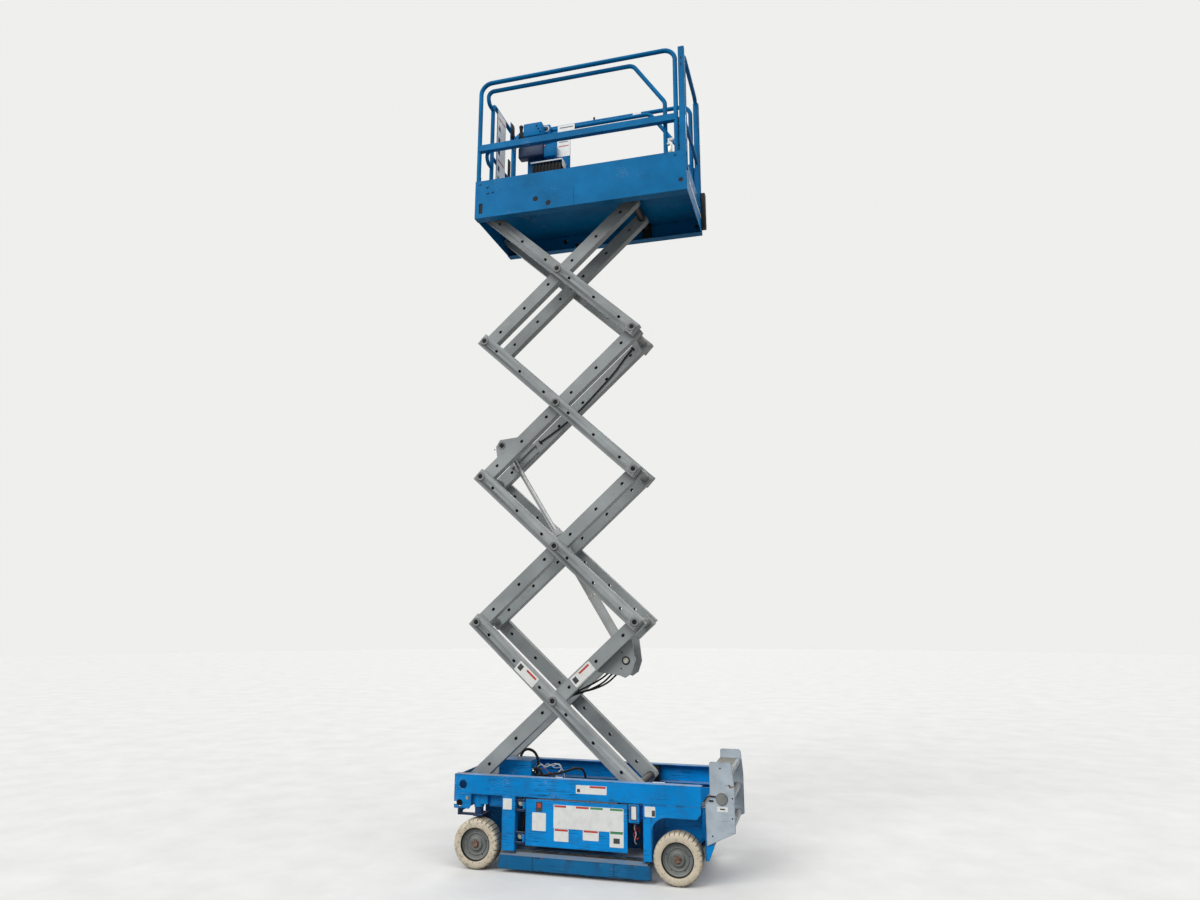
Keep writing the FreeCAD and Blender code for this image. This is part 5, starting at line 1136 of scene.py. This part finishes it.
STACK_CABLES = (
    # stage, along and rise of the points on the far inner arm, radius
    (1, ((0.1, 0.012), (0.34, 0.006), (0.6, 0.014), (0.85, 0.004), (1.06, 0.01)), 0.0052),
    (3, ((0.45, 0.012), (0.62, -0.022), (0.85, -0.032), (1.05, -0.02), (1.23, -0.01), (1.36, 0.018),
      (1.45, 0.026)), 0.0052),
)
BASE_HOSES = (
    # along, rise and side on the lowest inner arm, from its web to the cylinder's base
    ((0.79, -0.02, 0.104), (0.86, -0.046, 0.096), (0.96, -0.094, 0.09), (1.07, -0.126, 0.084),
     (1.16, -0.118, 0.07), (1.215, -0.142, 0.058), (1.25, -0.178, 0.052)),
    ((0.83, -0.02, 0.104), (0.9, -0.06, 0.09), (0.99, -0.112, 0.08), (1.09, -0.146, 0.07),
     (1.18, -0.14, 0.06), (1.24, -0.166, 0.05), (1.262, -0.19, 0.052)),
    ((0.81, -0.022, 0.104), (0.88, -0.04, 0.088), (0.98, -0.072, 0.074), (1.08, -0.096, 0.066),
     (1.15, -0.096, 0.056), (1.2, -0.128, 0.05), (1.232, -0.168, 0.052)),
)
# outer faces of the cylinder's lugs
LUG_FACE_Y = 0.111
LUG_PINS = (
    # stage, along and rise of the pin, where its end stands, finish, the collar's finish, rise of its bolts
    (1, ARM_LENGTH - 0.24, -0.125, 0.115, "oiled pin steel", "satin black paint", (0.058, -0.016)),
    (3, 0.245, 0.117, LUG_FACE_Y, "satin black paint", "shaft paint", (-0.058, 0.016)),
)
LUG_COLLAR = ((0.0202, 0.0), (0.028, 0.0), (0.028, 0.003), (0.0202, 0.003), (0.0202, 0.0))
BARREL_BAND = ((0.035, 0.0), (0.0372, 0.0), (0.0372, 0.014), (0.035, 0.014), (0.035, 0.0))


class LIFT_OT_stack_hoses(bpy.types.Operator):
    """Runs the cable up the far arms, and the hoses and fittings to the cylinder's base"""
    bl_idname = "lift.stack_hoses"
    bl_label = "Stack hoses"

    def execute(self, context):
        sizes = context.scene.lift_sizes
        for stage, points, radius in STACK_CABLES:
            piece = Piece("stack_cable_%d" % stage)
            line = [arm_place(stage, False, along, rise, -0.11, NEAR).translation for along, rise in points]
            piece.lay(line, radius, "black rubber")
            for along, rise in (points[0], points[-1]):
                clip = arm_place(stage, False, along, rise, -0.1165, NEAR)
                piece.add(block((0.014, 0.03, 0.012), 0.002), clip @ at(0, 0, 0.006), "satin black paint")
            if stage == 1:
                for route in BASE_HOSES:
                    line = [arm_place(1, False, along, rise, y, NEAR).translation for along, rise, y in route]
                    piece.lay(line, sizes.hose_radius * 0.85, "black rubber")
                for along, rise in ((1.256, -0.184), (1.24, -0.176)):
                    fitting = arm_place(1, False, along, rise, 0.052, NEAR)
                    piece.add(disc(0.011, 0.026, 6, 0.002), fitting @ at(0, 0, -0.013), "zinc plated steel")
            piece.finish("inner_%d" % stage, "hydraulic_steel")

        # pin ends on the lugs of the cylinder's base and of its eye, and the pins' middles
        ends = []
        for stage, along, rise, proud, finish, collar_finish, bolt_rises in LUG_PINS:
            piece = Piece("lug_pins_%d" % stage)
            for side, outward in SIDES:
                piece.add(disc(0.017, 0.0016, 28, 0.0004),
                          arm_place(stage, False, along, rise, side * proud, outward), finish)
                piece.add(lathe(LUG_COLLAR, 32),
                          arm_place(stage, False, along, rise, side * LUG_FACE_Y, outward), collar_finish)
                for bolt_along, bolt_rise in zip((0.016, -0.06), bolt_rises):
                    spot = arm_place(stage, False, along + bolt_along, rise + bolt_rise, side * LUG_FACE_Y,
                                     outward)
                    piece.add(disc(0.005, 0.0008, 12), spot, "satin black paint")
            piece.finish("inner_%d" % stage, "pin_steel")
            ends.append(arm_place(stage, False, along, rise, 0.0, NEAR).translation)
        base, eye = ends
        direction = (eye - base).normalized()
        port = facing(base + direction * 0.12, direction.cross(Vector(NEAR)), NEAR)
        piece = Piece("cylinder_ports")
        piece.add(block((0.05, 0.048, 0.026), 0.003), port @ at(0, 0, 0.04), "zinc plated steel")
        piece.add(disc(0.012, 0.03, 6, 0.002), port @ at(0.01, 0.008, 0.052), "zinc plated steel")
        piece.add(disc(0.01, 0.024, 6, 0.002), port @ at(-0.014, -0.01, 0.052), "valve steel")
        piece.add(lathe(BARREL_BAND, 32), facing(base + direction * 0.5, direction, NEAR), "zinc plated steel")
        piece.finish("barrel", "hydraulic_steel")
        return {"FINISHED"}


# the photograph's camera, solved from the lift: eye in metres, turns in degrees, focal length in pixels
EYE = (-1.5226, 5.5607, 1.5738)
YAW, PITCH, ROLL = 15.553, 11.836, -0.056
FOCAL_PIXELS = 806.35
PHOTO_WIDTH = 1200.0
SENSOR_WIDTH = 36.0


def camera_place(position, yaw, pitch, roll):
    """Place of a camera that looks along the yaw and pitch, given in degrees."""
    yaw, pitch, roll = (math.radians(angle) for angle in (yaw, pitch, roll))
    forward = Vector((math.sin(yaw) * math.cos(pitch), -math.cos(yaw) * math.cos(pitch), math.sin(pitch)))
    right = forward.cross(Vector(UP)).normalized()
    matrix = Matrix((right, right.cross(forward), -forward)).transposed().to_4x4()
    matrix.translation = Vector(position)
    return matrix @ Matrix.Rotation(roll, 4, "Z")


def seen_directly(tree):
    """1 where the camera sees it, also in a reflection or through glass, and 0 where it only lights."""
    path = add(tree, "ShaderNodeLightPath")
    seen = path.outputs["Is Camera Ray"]
    for ray in ("Is Glossy Ray", "Is Transmission Ray"):
        seen = add(tree, "ShaderNodeMath", {0: seen, 1: path.outputs[ray]}, operation="MAXIMUM").outputs[0]
    return seen

LAMPS = (
    # name, direction that it shines from, spread in degrees, strength
    ("window light", (3.5, 6.5, 6.0), 35.0, 1.72),
    ("roof light", (-5.0, 3.0, 7.0), 50.0, 0.8),
    ("back light", (1.5, -7.0, 5.0), 40.0, 0.55),
)


class LIFT_OT_stage(bpy.types.Operator):
    """Sets the floor, the lamps, the pale surroundings and the photograph's camera"""
    bl_idname = "lift.stage"
    bl_label = "Stage"

    def execute(self, context):
        scene = context.scene
        scene.view_settings.view_transform = "Standard"
        camera = bpy.data.cameras.new("photograph view")
        camera.sensor_fit = "HORIZONTAL"
        camera.sensor_width = SENSOR_WIDTH
        camera.lens = FOCAL_PIXELS * SENSOR_WIDTH / PHOTO_WIDTH
        camera.clip_end = 200.0
        holder = bpy.data.objects.new("photograph view", camera)
        holder.matrix_world = camera_place(EYE, YAW, PITCH, ROLL)
        scene.collection.objects.link(holder)
        scene.camera = holder

        # sealed concrete, power floated: pale, with soft clouding about 400 mm across
        tree, place, _ = new_finish("pale floor")
        cloud = add(tree, "ShaderNodeTexNoise", {"Vector": place, "Scale": 2.5, "Detail": 6.0,
                                                 "Roughness": 0.6})
        tone = add(tree, "ShaderNodeMapRange", {0: cloud.outputs[0], 1: 0.3, 2: 0.7, 3: 0.0, 4: 1.0})
        pale = add(tree, "ShaderNodeMix", {0: tone.outputs[0], 6: rgba(linear("E0DFDB")),
                                           7: rgba(linear("EAE9E6"))}, data_type="RGBA")
        seen = seen_directly(tree)
        # light that bounces off it is that of grey concrete, so undersides stay dark
        mixed = add(tree, "ShaderNodeMix", {0: seen, 6: rgba(linear("706E6A")), 7: pale.outputs[2]},
                    data_type="RGBA")
        finish_surface(tree, add(tree, "ShaderNodeBsdfPrincipled", {"Base Color": mixed.outputs[2],
                                                                    "Roughness": 0.8}))
        shape = bmesh.new()
        bmesh.ops.create_circle(shape, cap_ends=True, segments=96, radius=40.0)
        mesh = bpy.data.meshes.new("floor")
        shape.to_mesh(mesh)
        shape.free()
        mesh.materials.append(bpy.data.materials["pale floor"])
        floor = bpy.data.objects.new("floor", mesh)
        scene.collection.objects.link(floor)

        for name, source, spread, strength in LAMPS:
            lamp = bpy.data.lights.new(name, "SUN")
            lamp.angle = math.radians(spread)
            lamp.energy = strength
            lit = bpy.data.objects.new(name, lamp)
            lit.rotation_euler = (-Vector(source)).to_track_quat("-Z", "Y").to_euler()
            scene.collection.objects.link(lit)

        world = bpy.data.worlds.new("pale surroundings")
        scene.world = world
        world.use_nodes = True
        tree = world.node_tree
        tree.nodes.clear()
        light = add(tree, "ShaderNodeBackground", {"Color": rgba(linear("F7FAFF")), "Strength": 0.46})
        shown = add(tree, "ShaderNodeBackground", {"Color": rgba(linear("EFEFED")), "Strength": 1.0})
        both = add(tree, "ShaderNodeMixShader", {0: seen_directly(tree), 1: light.outputs[0],
                                                 2: shown.outputs[0]})
        add(tree, "ShaderNodeOutputWorld", {"Surface": both.outputs[0]})
        return {"FINISHED"}


OPERATORS = (LIFT_OT_stage, LIFT_OT_finishes, LIFT_OT_tyres, LIFT_OT_wheel_centres, LIFT_OT_arms,
             LIFT_OT_stack_fittings, LIFT_OT_stack_hoses, LIFT_OT_chassis_labels, LIFT_OT_chassis_fittings,
             LIFT_OT_chassis_wiring, LIFT_OT_ladder_fittings, LIFT_OT_platform_fittings,
             LIFT_OT_extension_fittings, LIFT_OT_controls)


class LIFT_PT_pieces(bpy.types.Panel):
    """Lists the lift's pieces, sizes and colours"""
    bl_idname = "LIFT_PT_pieces"
    bl_label = "Scissor Lift"
    bl_space_type = "VIEW_3D"
    bl_region_type = "UI"
    bl_category = "Scissor Lift"

    def draw(self, context):
        layout = self.layout
        for operator in OPERATORS:
            layout.operator(operator.bl_idname)
        for group in (context.scene.lift_sizes, context.scene.lift_colours):
            box = layout.box()
            for name in group.__annotations__:
                box.prop(group, name)


CLASSES = (LiftColours, LiftSizes) + OPERATORS + (LIFT_PT_pieces,)


def register():
    for each in CLASSES:
        bpy.utils.register_class(each)
    bpy.types.Scene.lift_colours = bpy.props.PointerProperty(type=LiftColours)
    bpy.types.Scene.lift_sizes = bpy.props.PointerProperty(type=LiftSizes)


def unregister():
    del bpy.types.Scene.lift_sizes
    del bpy.types.Scene.lift_colours
    for each in reversed(CLASSES):
        bpy.utils.unregister_class(each)


def main():
    register()
    for operator in OPERATORS:
        family, name = operator.bl_idname.split(".")
        getattr(getattr(bpy.ops, family), name)()


if __name__ == "__main__":
    main()
